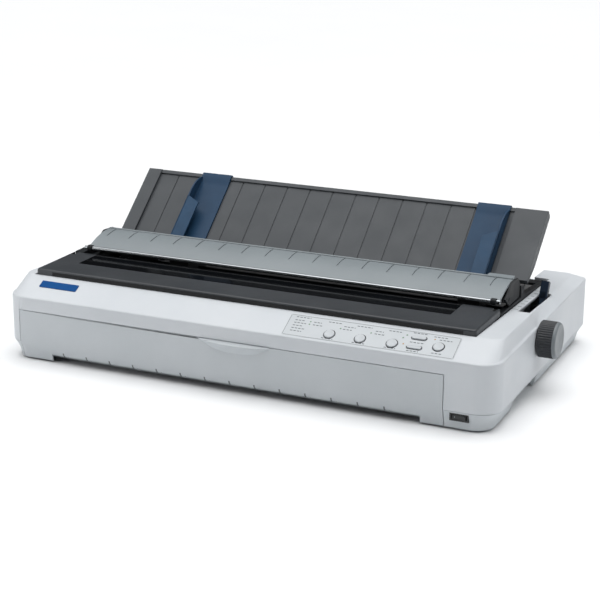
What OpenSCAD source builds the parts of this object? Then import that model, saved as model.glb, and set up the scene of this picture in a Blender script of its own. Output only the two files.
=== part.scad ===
// Wide-carriage dot matrix printer, with its covers, paper path and print mechanism.
// X runs along the carriage, Y from the front to the rear, Z up; the feet stand on z = 0.

/* [Case] */
// Width of the case without the knob
case_w = 594; // [584:1:606]
// Depth of the case, front face to rear face
case_d = 350; // [346:1:360]
// Thickness of the case walls
wall = 3; // [2.4:0.1:3.4]
// Height of the rubber feet
foot_h = 2; // [1.8:0.1:3]
// Radius of the rubber feet
foot_r = 9; // [6:0.5:11]
// Radius of the two front corners, seen from above
front_corner_r = 25; // [20:1:26]
// Radius of the two rear corners, seen from above
rear_corner_r = 9; // [7:0.5:12]
// Height of the parting line between the lower and upper case
split_z = 22; // [21.5:0.1:23]
// Height of the crease in the tucked-in lower edge
waist_z = 12; // [11:0.1:13]
// How far the sides are tucked in at the bottom
side_tuck = 8.4; // [6:0.1:9]
// How far the front and rear are tucked in at the bottom
front_tuck = 5; // [4:0.1:5.5]
// Height of the side wall at the front
side_top_front = 74.4; // [73:0.1:75.5]
// Height of the side wall at the rear
side_top_rear = 78; // [77:0.1:79]
// Height of the deck at its front edge
deck_front_z = 94.2; // [93.6:0.1:94.6]
// Height of the deck at the rear face
deck_rear_z = 81.6; // [81:0.1:83]
// Depth of the sloped front bezel, seen from above
bezel_d = 35; // [34:0.5:36]
// Width of the rounded break between the front face and the bezel
brow = 2.6; // [2:0.1:3]
// How far the deck's side edge lies inside the case at the front
ridge_in_front = 7; // [5:0.5:9]
// How far the deck's side edge lies inside the case at the rear
ridge_in_rear = 17.6; // [15:0.1:20]

/* [Top opening] */
// Case left of the top opening
left_margin = 21; // [20:0.5:22]
// Case right of the top opening
right_margin = 35; // [34:0.5:36]
// Rear end of the wide opening, from the front face
opening_rear = 307; // [304:1:312]
// From the case's side to the rear paper notch
notch_inset = 53; // [50:1:59]
// Height of the rear wall in the paper notch
rear_sill_z = 68; // [66:1:71]

/* [Front door] */
// Case left of the door
door_left_margin = 20; // [19:0.5:21]
// Case right of the door
door_right_margin = 57.5; // [56.5:0.5:58.5]
// Height of the door's top edge
door_top = 60; // [57:0.5:62]
// Thickness of the door
door_t = 2.8; // [2.2:0.1:3]
// Gap round the door
door_gap = 0.5; // [0.4:0.1:0.7]
// Width of the door's left foot
door_foot_left = 40; // [36:1:44]
// Width of the door's right foot
door_foot_right = 26; // [24:1:30]
// Height of the paper gap under the door
lip_z = 8.6; // [8.6:0.1:9.2]
// Radius of the rolled lip over the paper gap
lip_r = 2; // [1.5:0.1:2.4]
// Width of the finger lip on the door
grip_w = 88; // [60:1:110]
// Height of the finger lip on the door
grip_h = 10; // [7:0.5:14]
// How far the finger lip stands out
grip_out = 5.5; // [3.5:0.1:6]
// Distance of the door's hinge line behind the front face
door_pivot_y = 10.5; // [10.3:0.1:10.7]
// Height of the door's hinge line
door_pivot_z = 8.8; // [8.6:0.1:9.2]
// Radius of the door's hinge pins
door_pin_r = 1.6; // [1.3:0.1:1.8]

/* [Printer cover] */
// Height of the cover's top face
cover_top = 100.6; // [100.2:0.1:101.2]
// Height of the cover's lower edge
cover_low = 92; // [91.6:0.1:92.6]
// Thickness of the cover
cover_t = 2.4; // [1.8:0.1:2.8]
// Gap round the cover
cover_gap = 0.7; // [0.4:0.1:1]
// Rear edge of the cover, from the front face
cover_rear = 117; // [115:0.5:117.5]
// Front edge of the window, from the front face
window_front = 75; // [70:1:80]
// Rear edge of the window, from the front face
window_rear = 112.5; // [108:0.5:113.5]
// Cover left of the window
window_left = 33; // [25:1:45]
// Cover right of the window
window_right = 42; // [30:1:50]
// Distance of the cover's hinge line behind the front face
cover_pivot_y = 110.5; // [110:0.1:111]
// Height of the cover's hinge line
cover_pivot_z = 94; // [93.8:0.1:94.4]

/* [Tension unit] */
// From the case's side to the end of the tension panel
panel_inset = 39; // [38:1:47]
// Front edge of the tension panel, from the front face
panel_front = 124.5; // [124:0.5:126]
// Rear edge of the tension panel, from the front face
panel_rear = 165; // [162:0.5:168]
// Height of the tension panel's front edge
panel_front_z = 106.8; // [106.2:0.1:108]
// Height of the tension panel's rear edge
panel_rear_z = 118.4; // [117:0.1:119]
// Thickness of the tension panel
panel_t = 2.4; // [1.8:0.1:2.8]
// Radius of the steel paper bar
bar_r = 2.4; // [2.4:0.1:3.2]
// Distance of the paper bar behind the front face
bar_y = 120; // [119.5:0.1:120.6]
// Height of the paper bar
bar_z = 107; // [106:0.1:108]
// Spacing of the ribs and grooves that guide the paper
rib_pitch = 30.4; // [20:0.4:40]

/* [Paper guide] */
// Lean of the raised paper guide above level
guide_lean = 40.2; // [38:0.1:42]
// Length of the paper guide from its hinge line
guide_len = 112.5; // [100:0.5:116]
// From the case's side to the side of the paper guide
guide_inset = 34; // [33:0.5:39]
// Width of the raised band at the left of the guide
guide_band_left = 18; // [12:0.5:20]
// Width of the raised band at the right of the guide
guide_band_right = 39; // [20:0.5:40]
// Distance of the guide's hinge line behind the front face
guide_pivot_y = 200; // [199.5:0.1:201]
// Height of the guide's hinge line
guide_pivot_z = 98; // [97.8:0.1:98.4]
// Radius of the guide's hinge pins
guide_pin_r = 3; // [2:0.1:3.2]
// Width of an edge guide's plate
edge_plate_w = 40; // [30:1:44]
// Height of an edge guide's fence above the paper guide
fence_h = 14; // [10:0.5:16]
// From the paper guide's left side to the left edge guide's fence
edge_left_inset = 77; // [73:1:113]
// From the paper guide's right side to the right edge guide's fence
edge_right_inset = 45; // [44:1:93]

/* [Knob and platen] */
// Radius of the paper feed knob
knob_r = 20.5; // [17:0.5:22]
// How far the knob stands out of the case
knob_reach = 22; // [18:0.5:26]
// Radius of the platen
platen_r = 14; // [12:0.5:14.5]
// From the side frame to the end of the platen
platen_end_gap = 26; // [22:1:42]
// Distance of the platen's axis behind the front face
platen_y = 152; // [150:0.5:153]
// Height of the platen's axis
platen_z = 62; // [61:0.5:63]
// Radius of the platen's shaft
platen_shaft_r = 4; // [3:0.1:4.5]

/* [Release lever] */
// Distance of the lever's pivot behind the front face
lever_y = 196; // [195:0.5:198]
// Height of the lever's pivot
lever_z = 30; // [29:0.5:32]
// Reach of the lever from its pivot
lever_len = 82; // [76:0.5:84]
// Rearward lean of the lever at rest
lever_lean = 30; // [27:0.5:31]
// Thickness of the lever
lever_w = 9; // [6:0.5:10]
// Middle of the lever slot, from the right side of the case
lever_inset = 19.5; // [19:0.5:20]

/* [Controls] */
// Radius of a round button
button_r = 5.8; // [4.5:0.1:6]
// Width of a bar button
bar_button_w = 16; // [12:0.5:17]
// Depth of a bar button
bar_button_d = 4.6; // [3.6:0.1:5]
// How far a button stands out of the bezel
button_up = 1.6; // [1.2:0.1:2.2]
// Clearance round a button
button_gap = 0.3; // [0.25:0.05:0.4]
// Width of the power switch
switch_w = 21; // [18:0.5:22]
// Height of the power switch
switch_h = 8.6; // [8:0.1:8.8]
// Middle of the power switch, from the right side of the case
switch_inset = 39.5; // [38.5:0.5:40.5]

/* [Print mechanism] */
// From the case's side to the side frame
frame_inset = 55; // [54:1:59]
// Thickness of a side frame
frame_t = 2; // [1.5:0.1:2.4]
// Radius of the carriage shaft
rail_r = 5; // [4:0.1:5.5]
// Distance of the carriage shaft behind the front face
rail_y = 104; // [103:0.5:105]
// Height of the carriage shaft
rail_z = 46; // [45:0.5:47]
// Width of the carriage
carriage_w = 56; // [44:1:60]
// From the left side frame to the middle of the carriage at rest
carriage_inset = 92; // [87:1:122]
// Tooth size of the feed gears
gear_module = 1; // [0.95:0.05:1.05]
// Teeth of the gears on the platen and the tractor shaft
gear_teeth = 36; // [36:2:40]
// Teeth of the idler gear between them
idler_teeth = 52; // [50:2:54]
// Teeth of the feed motor's pinion
pinion_teeth = 15; // [13:1:16]
// Rise of the gear train towards the rear
train_rise = 6; // [4:0.5:7]
// From the side frame to the middle of each tractor
tractor_inset = 52; // [42:1:92]
// Width of a tractor
tractor_w = 26; // [22:1:30]
// Radius of the timing belt's pulleys
pulley_r = 8; // [6:0.5:9]

/* [Hidden] */

$fn = 48;
eps = 0.01;
run_gap = 0.06;                       // radial gap of a running fit
slide_gap = 0.3;                      // gap between faces that slide past each other

// The part's origin lies under the middle of its box
half_w = case_w / 2;
frame_half = half_w - frame_inset;
platen_half = frame_half - platen_end_gap;
tractor_x = frame_half - tractor_inset;
carriage_rest = frame_half - carriage_inset;
panel_half = half_w - panel_inset;
guide_half = half_w - guide_inset;
edge_left_x = guide_half - edge_left_inset;
edge_right_x = guide_half - edge_right_inset;
notch_half = half_w - notch_inset;
x_mid = knob_reach / 2;
y_mid = (case_d - grip_out) / 2;

// Lower case and feet
floor_t = 2;
floor_z = foot_h + floor_t;
waist_share = 0.7;                    // share of the tuck that is reached at the waist
foot_x = half_w - 42;
foot_front_y = 42;
foot_rear_y = case_d - 25;
recess_front = 80;
recess_rear = 164;
recess_top = 18;
recess_in = 20;
boss_r = 5;
boss_bore = 1.5;
screw_head_r = 3.4;
boss_places = [[-half_w + 27, 30], [half_w - 27, 30], [-half_w + 22, case_d - 24],
    [half_w - 22, case_d - 24]];

// Deck plane: its height falls evenly from the bezel to the rear face
function deck_z(y) = deck_front_z + (deck_rear_z - deck_front_z) * (y - bezel_d) / (case_d - bezel_d);
open_x0 = -half_w + left_margin;
open_x1 = half_w - right_margin;
rim_t = 2.5;
ledge_t = 3;
ledge_w = 6;
cover_ledge_z = cover_low - 1;
frame_ledge_z = 79.5;

// Bezel plane
bezel_foot_y = brow;
bezel_foot_z = side_top_front + brow;
bezel_slope = atan2(deck_front_z - bezel_foot_z, bezel_d - bezel_foot_y);

// Door
door_x0 = -half_w + door_left_margin;
door_x1 = half_w - door_right_margin;
gap_x0 = door_x0 + door_foot_left;
gap_x1 = door_x1 - door_foot_right;
door_depth = 16;
ear_t = 4;
ear_r = 3.6;
ear_left = door_x0 + 15;
ear_right = door_x1 - 15 - ear_t;
post_t = 4.5;
post_gap = 0.4;

// Cover and top frame
cover_x0 = open_x0 + cover_gap;
cover_x1 = open_x1 - cover_gap;
cover_front = bezel_d + cover_gap;
cover_pin_r = 2;
cover_arm_t = 4;
cover_arm_left = cover_x0 + cover_t + slide_gap;
cover_arm_right = cover_x1 - cover_t - slide_gap - cover_arm_t;
rail_w = 6.8;
rail_top = 93.5;
frame_front = 120.6;
frame_rear = 300;
lug_r = 6;

// Tension unit
cheek_t = 4;
cheek_x = panel_half - 2;
cheek_low = rail_top + 0.3;
cheek_rear = 190;
panel_sag = 2;
roller_y = 150;
roller_z = 102;
roller_r = 5;
panel_lip = 11;

// Paper guide, in its own plane
band_up = 1.5;
guide_back = -4.5;
guide_floor = -2;
guide_low = 13;
guide_lip = 1.6;
side_drop = 6;
fence_top = guide_len - 44;
fence_low = 1;
fence_run = 32;
fence_drop = fence_h - guide_floor - 2.2;
fence_r = (pow(fence_run, 2) + pow(fence_drop, 2)) / (2 * fence_drop);
flange_in = 22;
arm_t = 6;
arm_x = open_x1 - cover_gap - rail_w - slide_gap - arm_t;

// Feed train
platen_gear_turn = train_rise;
centre_step = gear_module * (gear_teeth + idler_teeth) / 2;
idler_y = platen_y + centre_step * cos(train_rise);
idler_z = platen_z + centre_step * sin(train_rise);
drive_y = platen_y + 2 * centre_step * cos(train_rise);
drive_z = platen_z + 2 * centre_step * sin(train_rise);
pinion_y = idler_y;
pinion_z = idler_z - gear_module * (idler_teeth + pinion_teeth) / 2;
gear_w = 5;
gear_x = -frame_half - frame_t - 8;
motor_r = 20;
motor_len = 22;
drive_r = 3;
rod_y = drive_y + 14;
rod_z = drive_z - 14;
rod_r = 2.5;
pinch_r = 6;
pinch_line = -75;
pinch_y = platen_y + (platen_r + pinch_r + slide_gap) * cos(pinch_line);
pinch_z = platen_z + (platen_r + pinch_r + slide_gap) * sin(pinch_line);
pinch_shaft_r = 3;

// Carriage drive
plate_z = 56;
plate_t = 2;
plate_front = 50;
plate_rear = 78;
belt_y = 64;
belt_z0 = 44;
belt_z1 = 50;
belt_t = 1.2;
pulley_x = frame_half - 27;
carriage_front = 84;
carriage_rear = 124;
carriage_low = 38;
carriage_high = 62;
cassette_front = 44;
cassette_rear = 82;
cassette_low = 82;
cassette_high = 94;
arm_low = 68;
arm_high = 79;
ribbon_knob_x = -platen_half + 4;
ribbon_knob_y = 62;

// Buttons: place across the printer and distance up the bezel slope
panel_x = half_w - 136;
round_buttons = [[panel_x - 54, 10], [panel_x - 19, 10], [panel_x + 17, 10], [panel_x + 67, 14.5]];
bar_buttons = [[panel_x + 43, 23], [panel_x + 42, 9]];
button_body = 6;
flange_w = 1.2;
board_gap = 1.6;
board_t = 1.6;

// Rear interfaces
inlet_x = half_w - 107;
inlet_z = 42;
inlet_w = 28;
inlet_h = 20;
port_z = 38;
parallel_x = -half_w + 152;
parallel_w = 66;
parallel_h = 14;
usb_x = parallel_x + 53;
usb_w = 12;
usb_h = 11;
slot_x = usb_x + 82;
slot_w = 100;
slot_h = 30;
board_z = 10;
board_x0 = -half_w + 97;
board_x1 = 80;
board_y0 = 215;
board_y1 = case_d - 14;
supply_x0 = board_x1 + 12;
supply_x1 = frame_half - 8;
supply_y0 = board_y0 + 7;
supply_y1 = case_d - 20;
supply_top = 46;
sheet_t = 2;

// ---------- helpers ----------

// The same thing on the right and, mirrored, on the left
module both_sides() {
    children();
    mirror([1, 0, 0]) children();
}

module place() translate([-x_mid, -y_mid, 0]) children();

module block(x0, x1, y0, y1, z0, z1) translate([x0, y0, z0]) cube([x1 - x0, y1 - y0, z1 - z0]);

// Extrudes a (y, z) outline along X
module along_x(x0, x1) translate([x0, 0, 0]) rotate([90, 0, 90]) linear_extrude(x1 - x0) children();

module rod_x(x0, x1, y, z, r) translate([x0, y, z]) rotate([0, 90, 0]) cylinder(h = x1 - x0, r = r);

module ring_x(x0, x1, y, z, r_out, r_in) difference() {
    rod_x(x0, x1, y, z, r_out);
    rod_x(x0 - 1, x1 + 1, y, z, r_in);
}

// Upright on the bezel slope: origin on the bezel at x, s up the slope; local Z leaves the bezel
module on_bezel(x, s) translate([x, bezel_foot_y + s * cos(bezel_slope), bezel_foot_z + s * sin(bezel_slope)])
    rotate([bezel_slope, 0, 0]) children();

// The paper guide's own plane: Y runs up the guide, Z faces the paper
module on_guide() translate([0, guide_pivot_y, guide_pivot_z]) rotate([guide_lean, 0, 0]) children();

function arc(cx, cy, r, a0, a1, n) = [for (i = [0:n]) let (a = a0 + (a1 - a0) * i / n)
    [cx + r * cos(a), cy + r * sin(a)]];

// A closed ring seen from above, wider at the front than at the rear, on a plane that
// rises from z_f at the front face to z_r at the rear face
side_steps = 8;
function ring(x_f, x_r, y_f, y_r, r_f, r_r, z_f, z_r) = let (
    fr = arc(x_f - r_f, y_f + r_f, r_f, -90, 0, 8),
    rr = arc(x_r - r_r, y_r - r_r, r_r, 0, 90, 4),
    side = [for (k = [1:side_steps - 1]) fr[8] + (rr[0] - fr[8]) * k / side_steps],
    right = concat(fr, side, rr),
    n = len(right),
    flat_ring = concat(right, [for (i = [n - 1:-1:0]) [-right[i][0], right[i][1]]]))
    [for (p = flat_ring) [p[0], p[1], z_f + (z_r - z_f) * p[1] / case_d]];

// A closed solid through a stack of rings with the same number of points
module loft(rings) {
    m = len(rings[0]);
    n = len(rings);
    polyhedron(points = [for (r = rings) each r], faces = concat(
        [[for (i = [0:m - 1]) i]],
        [for (k = [0:n - 2], i = [0:m - 1]) let (j = (i + 1) % m)
            [k * m + i, (k + 1) * m + i, (k + 1) * m + j]],
        [for (k = [0:n - 2], i = [0:m - 1]) let (j = (i + 1) % m) [k * m + i, (k + 1) * m + j, k * m + j]],
        [[for (i = [m - 1:-1:0]) (n - 1) * m + i]]));
}

// Case outline at a level, set in by t; the deck's height is continued to the front face
function level(t, side_in, front_in, z_f, z_r) = ring(half_w - side_in - t, half_w - side_in - t,
    front_in + t, case_d - front_in - t, front_corner_r - side_in / 2 - t,
    rear_corner_r - front_in / 2 - t / 2, z_f, z_r);
function deck_ring(t, drop) = let (at_front = deck_z(0) - drop, at_rear = deck_rear_z - drop)
    ring(half_w - ridge_in_front - t, half_w - ridge_in_rear - t, bezel_d + t / 2, case_d - 1.5 - t,
        front_corner_r / 2, rear_corner_r / 1.5, at_front, at_rear);

module lower_form() loft([
    level(0, side_tuck, front_tuck, foot_h, foot_h),
    level(0, side_tuck * waist_share, front_tuck * waist_share, waist_z, waist_z),
    level(0, 0, 0, split_z, split_z)]);

module upper_form() loft([
    level(0, 0, 0, split_z, split_z),
    level(0, 0, 0, side_top_front, side_top_rear),
    level(0, brow * 0.3, brow * 0.3, side_top_front + brow * 0.7, side_top_rear + brow * 0.25),
    level(0, brow, brow, side_top_front + brow, side_top_rear + brow * 0.45),
    deck_ring(-0.6, 0.7),
    deck_ring(0.6, 0)]);

// The space inside the case, t behind its outer faces
module lower_core(t, low_z) loft([
    level(t, side_tuck, front_tuck, low_z, low_z),
    level(t, side_tuck * waist_share, front_tuck * waist_share, waist_z, waist_z),
    level(t, 0, 0, split_z + eps, split_z + eps)]);

module upper_core(t) loft([
    level(t, 0, 0, split_z - eps, split_z - eps),
    level(t, 0, 0, side_top_front - 1, side_top_rear - 1),
    deck_ring(t, t)]);

function gear_points(teeth, turn) = let (
    pitch = gear_module * teeth / 2,
    root = pitch - 1.2 * gear_module,
    tip = pitch + 0.85 * gear_module,
    step = 360 / teeth)
    [for (i = [0:teeth - 1], p = [[root, -0.31], [pitch, -0.205], [tip, -0.09], [tip, 0.09],
        [pitch, 0.205], [root, 0.31]])
        [p[0] * cos(turn + (i + p[1]) * step), p[0] * sin(turn + (i + p[1]) * step)]];

// Turn of gear b that meshes with gear a, where the line of centres leaves a at angle "line"
function mesh_turn(line, teeth_a, turn_a, teeth_b) =
    line + 180 + 180 / teeth_b + (line - turn_a) * teeth_a / teeth_b;
idler_turn = mesh_turn(train_rise, gear_teeth, platen_gear_turn, idler_teeth);
drive_turn = mesh_turn(train_rise, idler_teeth, idler_turn, gear_teeth);
pinion_turn = mesh_turn(-90, idler_teeth, idler_turn, pinion_teeth);

module gear(y, z, teeth, turn, bore) translate([0, y, z]) difference() {
    along_x(gear_x, gear_x + gear_w) polygon(gear_points(teeth, turn));
    rod_x(gear_x - 1, gear_x + gear_w + 1, 0, 0, bore);
}

// ---------- case ----------

module door_mouth(gap) block(door_x0 - gap, door_x1 + gap, -10, door_depth + 2, -1, door_top + gap);

module door_post(x, pin_from, pin_to) {
    difference() {
        union() {
            rod_x(x, x + post_t, door_pivot_y, door_pivot_z, ear_r - 0.2);
            block(x, x + post_t, door_pivot_y, door_depth + 6, door_pivot_z - 3, door_pivot_z + 3);
            block(x, x + post_t, door_depth + 2, door_depth + 6, foot_h, door_pivot_z);
        }
        block(x - 1, x + post_t + 1, 0, door_depth + 6, -1, foot_h + 0.4);
    }
    rod_x(pin_from, pin_to, door_pivot_y, door_pivot_z, door_pin_r);
}

module hand_pocket(grow) both_sides()
    block(half_w - recess_in - grow, half_w + 5, recess_front - grow, recess_rear + grow, -1,
        recess_top + grow);

module lever_posts() for (x = [lever_x - lever_w / 2 - slide_gap - 4, lever_x + lever_w / 2 + slide_gap])
    difference() {
        union() {
            block(x, x + 4, lever_y - 8, lever_y + 8, floor_z - 1, lever_z);
            rod_x(x, x + 4, lever_y, lever_z, 8);
        }
        rod_x(x - 1, x + 5, lever_y, lever_z, lever_pin_r + run_gap);
    }

lever_x = half_w - lever_inset;
lever_pin_r = 3;

module lower_case() color("#C9CDD0") place() difference() {
    union() {
        difference() {
            lower_form();
            lower_core(wall, floor_z);
            door_mouth(door_gap);
        }
        intersection() {
            lower_form();
            union() {
                difference() {
                    hand_pocket(2.5);
                    block(-half_w, half_w, 0, case_d, -2, foot_h);
                }
                block(door_x0 - door_gap - wall, door_x0 - door_gap, 0, door_depth + 2, foot_h, split_z);
                block(door_x1 + door_gap, door_x1 + door_gap + wall, 0, door_depth + 2, foot_h, split_z);
            }
        }
        door_post(ear_left + ear_t + post_gap, ear_left, ear_left + ear_t + post_gap + 1);
        door_post(ear_right - post_gap - post_t, ear_right - post_gap - 1, ear_right + ear_t);
        lever_posts();
        for (x = [-1, 1], y = [rail_y, foot_rear_y - 30])
            translate([x * frame_half, y, 0]) block(-8, 8, -8, 8, floor_z - 0.5, 8);
        for (x = [board_x0 + 10, board_x0 + 140, board_x1 - 20], y = [board_y0 + 10, board_y1 - 16])
            translate([x, y, floor_z - 0.5]) cylinder(h = board_z - floor_z + 0.5, r = 4);
        for (x = [supply_x0 + 13, supply_x1 - 14], y = [supply_y0 + 18, supply_y1 - 10])
            translate([x, y, floor_z - 0.5]) cylinder(h = board_z - floor_z + 0.5, r = 4);
    }
    hand_pocket(0);
    for (p = boss_places) translate([p[0], p[1], 0]) {
        cylinder(h = 30, r = boss_bore + 0.2);
        translate([0, 0, -1]) cylinder(h = foot_h + 2.2, r = screw_head_r + 0.3);
    }
    block(switch_x - switch_w / 2, switch_x + switch_w / 2, -1, 20, switch_z, switch_z + switch_h);
}

switch_x = half_w - switch_inset;
switch_z = 11.6;
switch_d = 14;
switch_face_y = front_tuck * waist_share * 0.35;

module upper_case() color("#D3D7DA") place() difference() {
    union() {
        difference() {
            upper_form();
            upper_core(wall);
        }
        intersection() {
            upper_form();
            union() {
                opening_rim();
                for (p = boss_places) translate([p[0], p[1], floor_z]) cylinder(h = 110, r = boss_r);
            }
        }
        for (p = boss_places) translate([p[0], p[1], floor_z]) cylinder(h = 25, r = boss_r);
        ledges();
    }
    block(open_x0, open_x1, bezel_d, opening_rear, cover_ledge_z, 130);
    block(open_x0 + ledge_w, open_x1 - ledge_w, bezel_d + ledge_w, opening_rear, 70, 130);
    block(open_x0, open_x1, cover_rear - 13, opening_rear, frame_ledge_z, 130);
    block(-notch_half, notch_half, opening_rear - 10, case_d + 10, rear_sill_z, 130);
    door_mouth(door_gap);
    rod_x(half_w - 10, half_w + 10, platen_y, platen_z, platen_shaft_r + 9);
    block(lever_x - lever_w / 2 - 2, lever_x + lever_w / 2 + 2, lever_slot_front, lever_slot_rear, 70, 130);
    for (b = round_buttons) on_bezel(b[0], b[1]) translate([0, 0, -12])
        cylinder(h = 20, r = button_r + button_gap);
    for (b = bar_buttons) on_bezel(b[0], b[1]) bar_shape(button_gap, -12, 8);
    for (p = boss_places) translate([p[0], p[1], 0]) cylinder(h = 18, r = boss_bore);
    block(inlet_x - inlet_w / 2, inlet_x + inlet_w / 2, case_d - 10, case_d + 5,
        inlet_z - inlet_h / 2, inlet_z + inlet_h / 2);
    block(parallel_x - parallel_w / 2 - 1, parallel_x + parallel_w / 2 + 1, case_d - 10, case_d + 5,
        port_z - parallel_h / 2 - 1, port_z + parallel_h / 2 + 1);
    block(usb_x - usb_w / 2 - 1, usb_x + usb_w / 2 + 1, case_d - 10, case_d + 5,
        port_z - usb_h / 2 - 1, port_z + usb_h / 2 + 1);
    block(slot_x - slot_w / 2, slot_x + slot_w / 2, case_d - 1.5, case_d + 5,
        port_z - slot_h / 2, port_z + slot_h / 2);
    block(slot_x - slot_w / 2 + 5, slot_x + slot_w / 2 - 5, case_d - 10, case_d + 5,
        port_z - slot_h / 2 + 5, port_z + slot_h / 2 - 5);
    for (x = [-1, 1]) translate([slot_x + x * (slot_w / 2 - 2.5), case_d - 10, port_z])
        rotate([-90, 0, 0]) cylinder(h = 20, r = 1.2);
    for (i = [0:9]) block(72 + i * 7, 75 + i * 7, case_d - 10, case_d + 5, 30, 56);
}

lever_slot_front = lever_y - (deck_z(lever_y) - lever_z) * tan(lever_lean) - 11;
lever_slot_rear = lever_y + (deck_z(lever_y) - lever_z) * tan(lever_lean) + 11;

// Walls that hang from the deck round the top opening
module opening_rim() {
    block(open_x0 - rim_t, open_x0 + ledge_w, bezel_d, opening_rear, frame_ledge_z - ledge_t, 120);
    block(open_x1 - ledge_w, open_x1 + rim_t, bezel_d, opening_rear, frame_ledge_z - ledge_t, 120);
    block(open_x0, open_x1, bezel_d - rim_t, bezel_d + ledge_w, cover_ledge_z - ledge_t, 120);
    both_sides()
        block(notch_half, notch_half + rim_t, opening_rear - 2, case_d - 1, rear_sill_z - 5, 120);
    block(open_x0 - rim_t, -notch_half, opening_rear, opening_rear + rim_t, rear_sill_z - 5, 120);
    block(notch_half, open_x1 + rim_t, opening_rear, opening_rear + rim_t, rear_sill_z - 5, 120);
}

module ledges() {
    block(-notch_half, notch_half, case_d - wall - 6, case_d - wall + 0.5, rear_sill_z - 3, rear_sill_z);
    block(door_x0, door_x1, wall - 0.5, door_depth, door_top + door_gap, door_top + door_gap + 2.5);
}

module rubber_feet() color("#2A2C2E") place() for (x = [-foot_x, foot_x], y = [foot_front_y, foot_rear_y])
    translate([x, y, 0]) cylinder(h = foot_h, r = foot_r);

module grip_solid() hull() {
    translate([(gap_x0 + gap_x1) / 2 + 11.5, 0, door_top - 2]) intersection() {
        translate([0, grip_plan_r - grip_out, 0]) cylinder(h = 1.6, r = grip_plan_r, $fn = 180);
        block(-grip_w / 2, grip_w / 2, -grip_out, 0.5, 0, 2);
    }
    translate([(gap_x0 + gap_x1) / 2 + 11.5, 0.5, door_top - grip_h]) rotate([90, 0, 0]) intersection() {
        translate([0, grip_front_r, 0]) cylinder(h = 0.5, r = grip_front_r, $fn = 120);
        translate([-grip_w / 2, 0, 0]) cube([grip_w, grip_h - 1, 1]);
    }
}

grip_plan_r = (pow(grip_w / 2, 2) + pow(grip_out, 2)) / (2 * grip_out);
grip_front_r = (pow(grip_w / 2, 2) + pow(grip_h, 2)) / (2 * grip_h);

module front_door() color("#CDD1D4") place() difference() {
    union() {
        difference() {
            intersection() {
                block(door_x0, door_x1, -1, door_depth, foot_h + 0.2, door_top);
                union() {
                    lower_form();
                    upper_form();
                }
            }
            intersection() {
                block(door_x0 + door_t, door_x1 - door_t, 0, door_depth + 1, -1, door_top - door_t);
                union() {
                    lower_core(door_t, -1);
                    upper_core(door_t);
                }
            }
            block(gap_x0, gap_x1, -2, door_depth + 1, -1, lip_z + lip_r);
        }
        rod_x(gap_x0, gap_x1, front_tuck + lip_r, lip_z + lip_r, lip_r);
        for (i = [1:floor((gap_x1 - gap_x0) / rib_pitch)])
            block(gap_x0 + i * rib_pitch - 10.4, gap_x0 + i * rib_pitch - 8.9,
                front_tuck - 0.6, door_depth - 4, lip_z + 0.2, lip_z + 5);
        for (x = [ear_left, ear_right]) {
            rod_x(x, x + ear_t, door_pivot_y, door_pivot_z, ear_r);
            block(x, x + ear_t, front_tuck, door_pivot_y, door_pivot_z - ear_r + 0.6, split_z);
        }
        grip_solid();
    }
    for (x = [ear_left, ear_right])
        rod_x(x - 1, x + ear_t + 1, door_pivot_y, door_pivot_z, door_pin_r + run_gap);
}

// ---------- covers ----------

module printer_cover() color("#55595D") place() {
    difference() {
        block(cover_x0, cover_x1, cover_front, cover_rear, cover_low, cover_top);
        block(cover_x0 + cover_t, cover_x1 - cover_t, cover_front + cover_t, cover_rear + 1,
            cover_low - 1, cover_top - cover_t);
        block(cover_x0 + window_left, cover_x1 - window_right, window_front, window_rear,
            cover_low, cover_top + 1);
        for (x = [cover_arm_left, cover_arm_right]) block(x - 0.6, x + cover_arm_t + 0.6, cover_pivot_y - 4,
            cover_rear + 1, cover_low - 1, cover_top + 1);
    }
    rod_x(cover_x0 + 1, cover_x0 + cover_t + 4.6, cover_pivot_y, cover_pivot_z, cover_pin_r);
    rod_x(cover_x1 - cover_t - 4.6, cover_x1 - 1, cover_pivot_y, cover_pivot_z, cover_pin_r);
}

module cover_window() color("#101214") place()
    block(cover_x0 + window_left, cover_x1 - window_right, window_front, window_rear,
        cover_top - cover_t, cover_top - 0.2);

module frame_bar(x0, x1) along_x(x0, x1) polygon([[frame_front, frame_ledge_z], [frame_front, rail_top],
    [guide_pivot_y + 16, rail_top - 2], [frame_rear, deck_z(frame_rear) - 0.6], [frame_rear, frame_ledge_z]]);

module frame_rail(x0, x1) difference() {
    union() {
        frame_bar(x0, x1);
        along_x(x0, x1) polygon([[cheek_rear + 3.5, rail_top - 2], [cheek_rear + 3.5, guide_pivot_z + 8],
            [guide_pivot_y + 9, rail_top + 0.5], [guide_pivot_y + 16, rail_top - 2]]);
        rod_x(x0, x1, guide_pivot_y, guide_pivot_z, lug_r);
    }
    rod_x(x0 - 1, x1 + 1, guide_pivot_y, guide_pivot_z, guide_pin_r + run_gap);
}

// Arm that carries the printer cover's pin
module cover_arm(x0) difference() {
    union() {
        rod_x(x0, x0 + cover_arm_t, cover_pivot_y, cover_pivot_z, 3.6);
        block(x0, x0 + cover_arm_t, cover_pivot_y, frame_front + 1, cover_pivot_z - 3.6, cover_pivot_z - 0.5);
        block(x0, x0 + cover_arm_t, frame_front, frame_front + 4, frame_ledge_z, cover_pivot_z - 0.5);
    }
    rod_x(x0 - 1, x0 + cover_arm_t + 1, cover_pivot_y, cover_pivot_z, cover_pin_r + run_gap);
}

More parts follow.
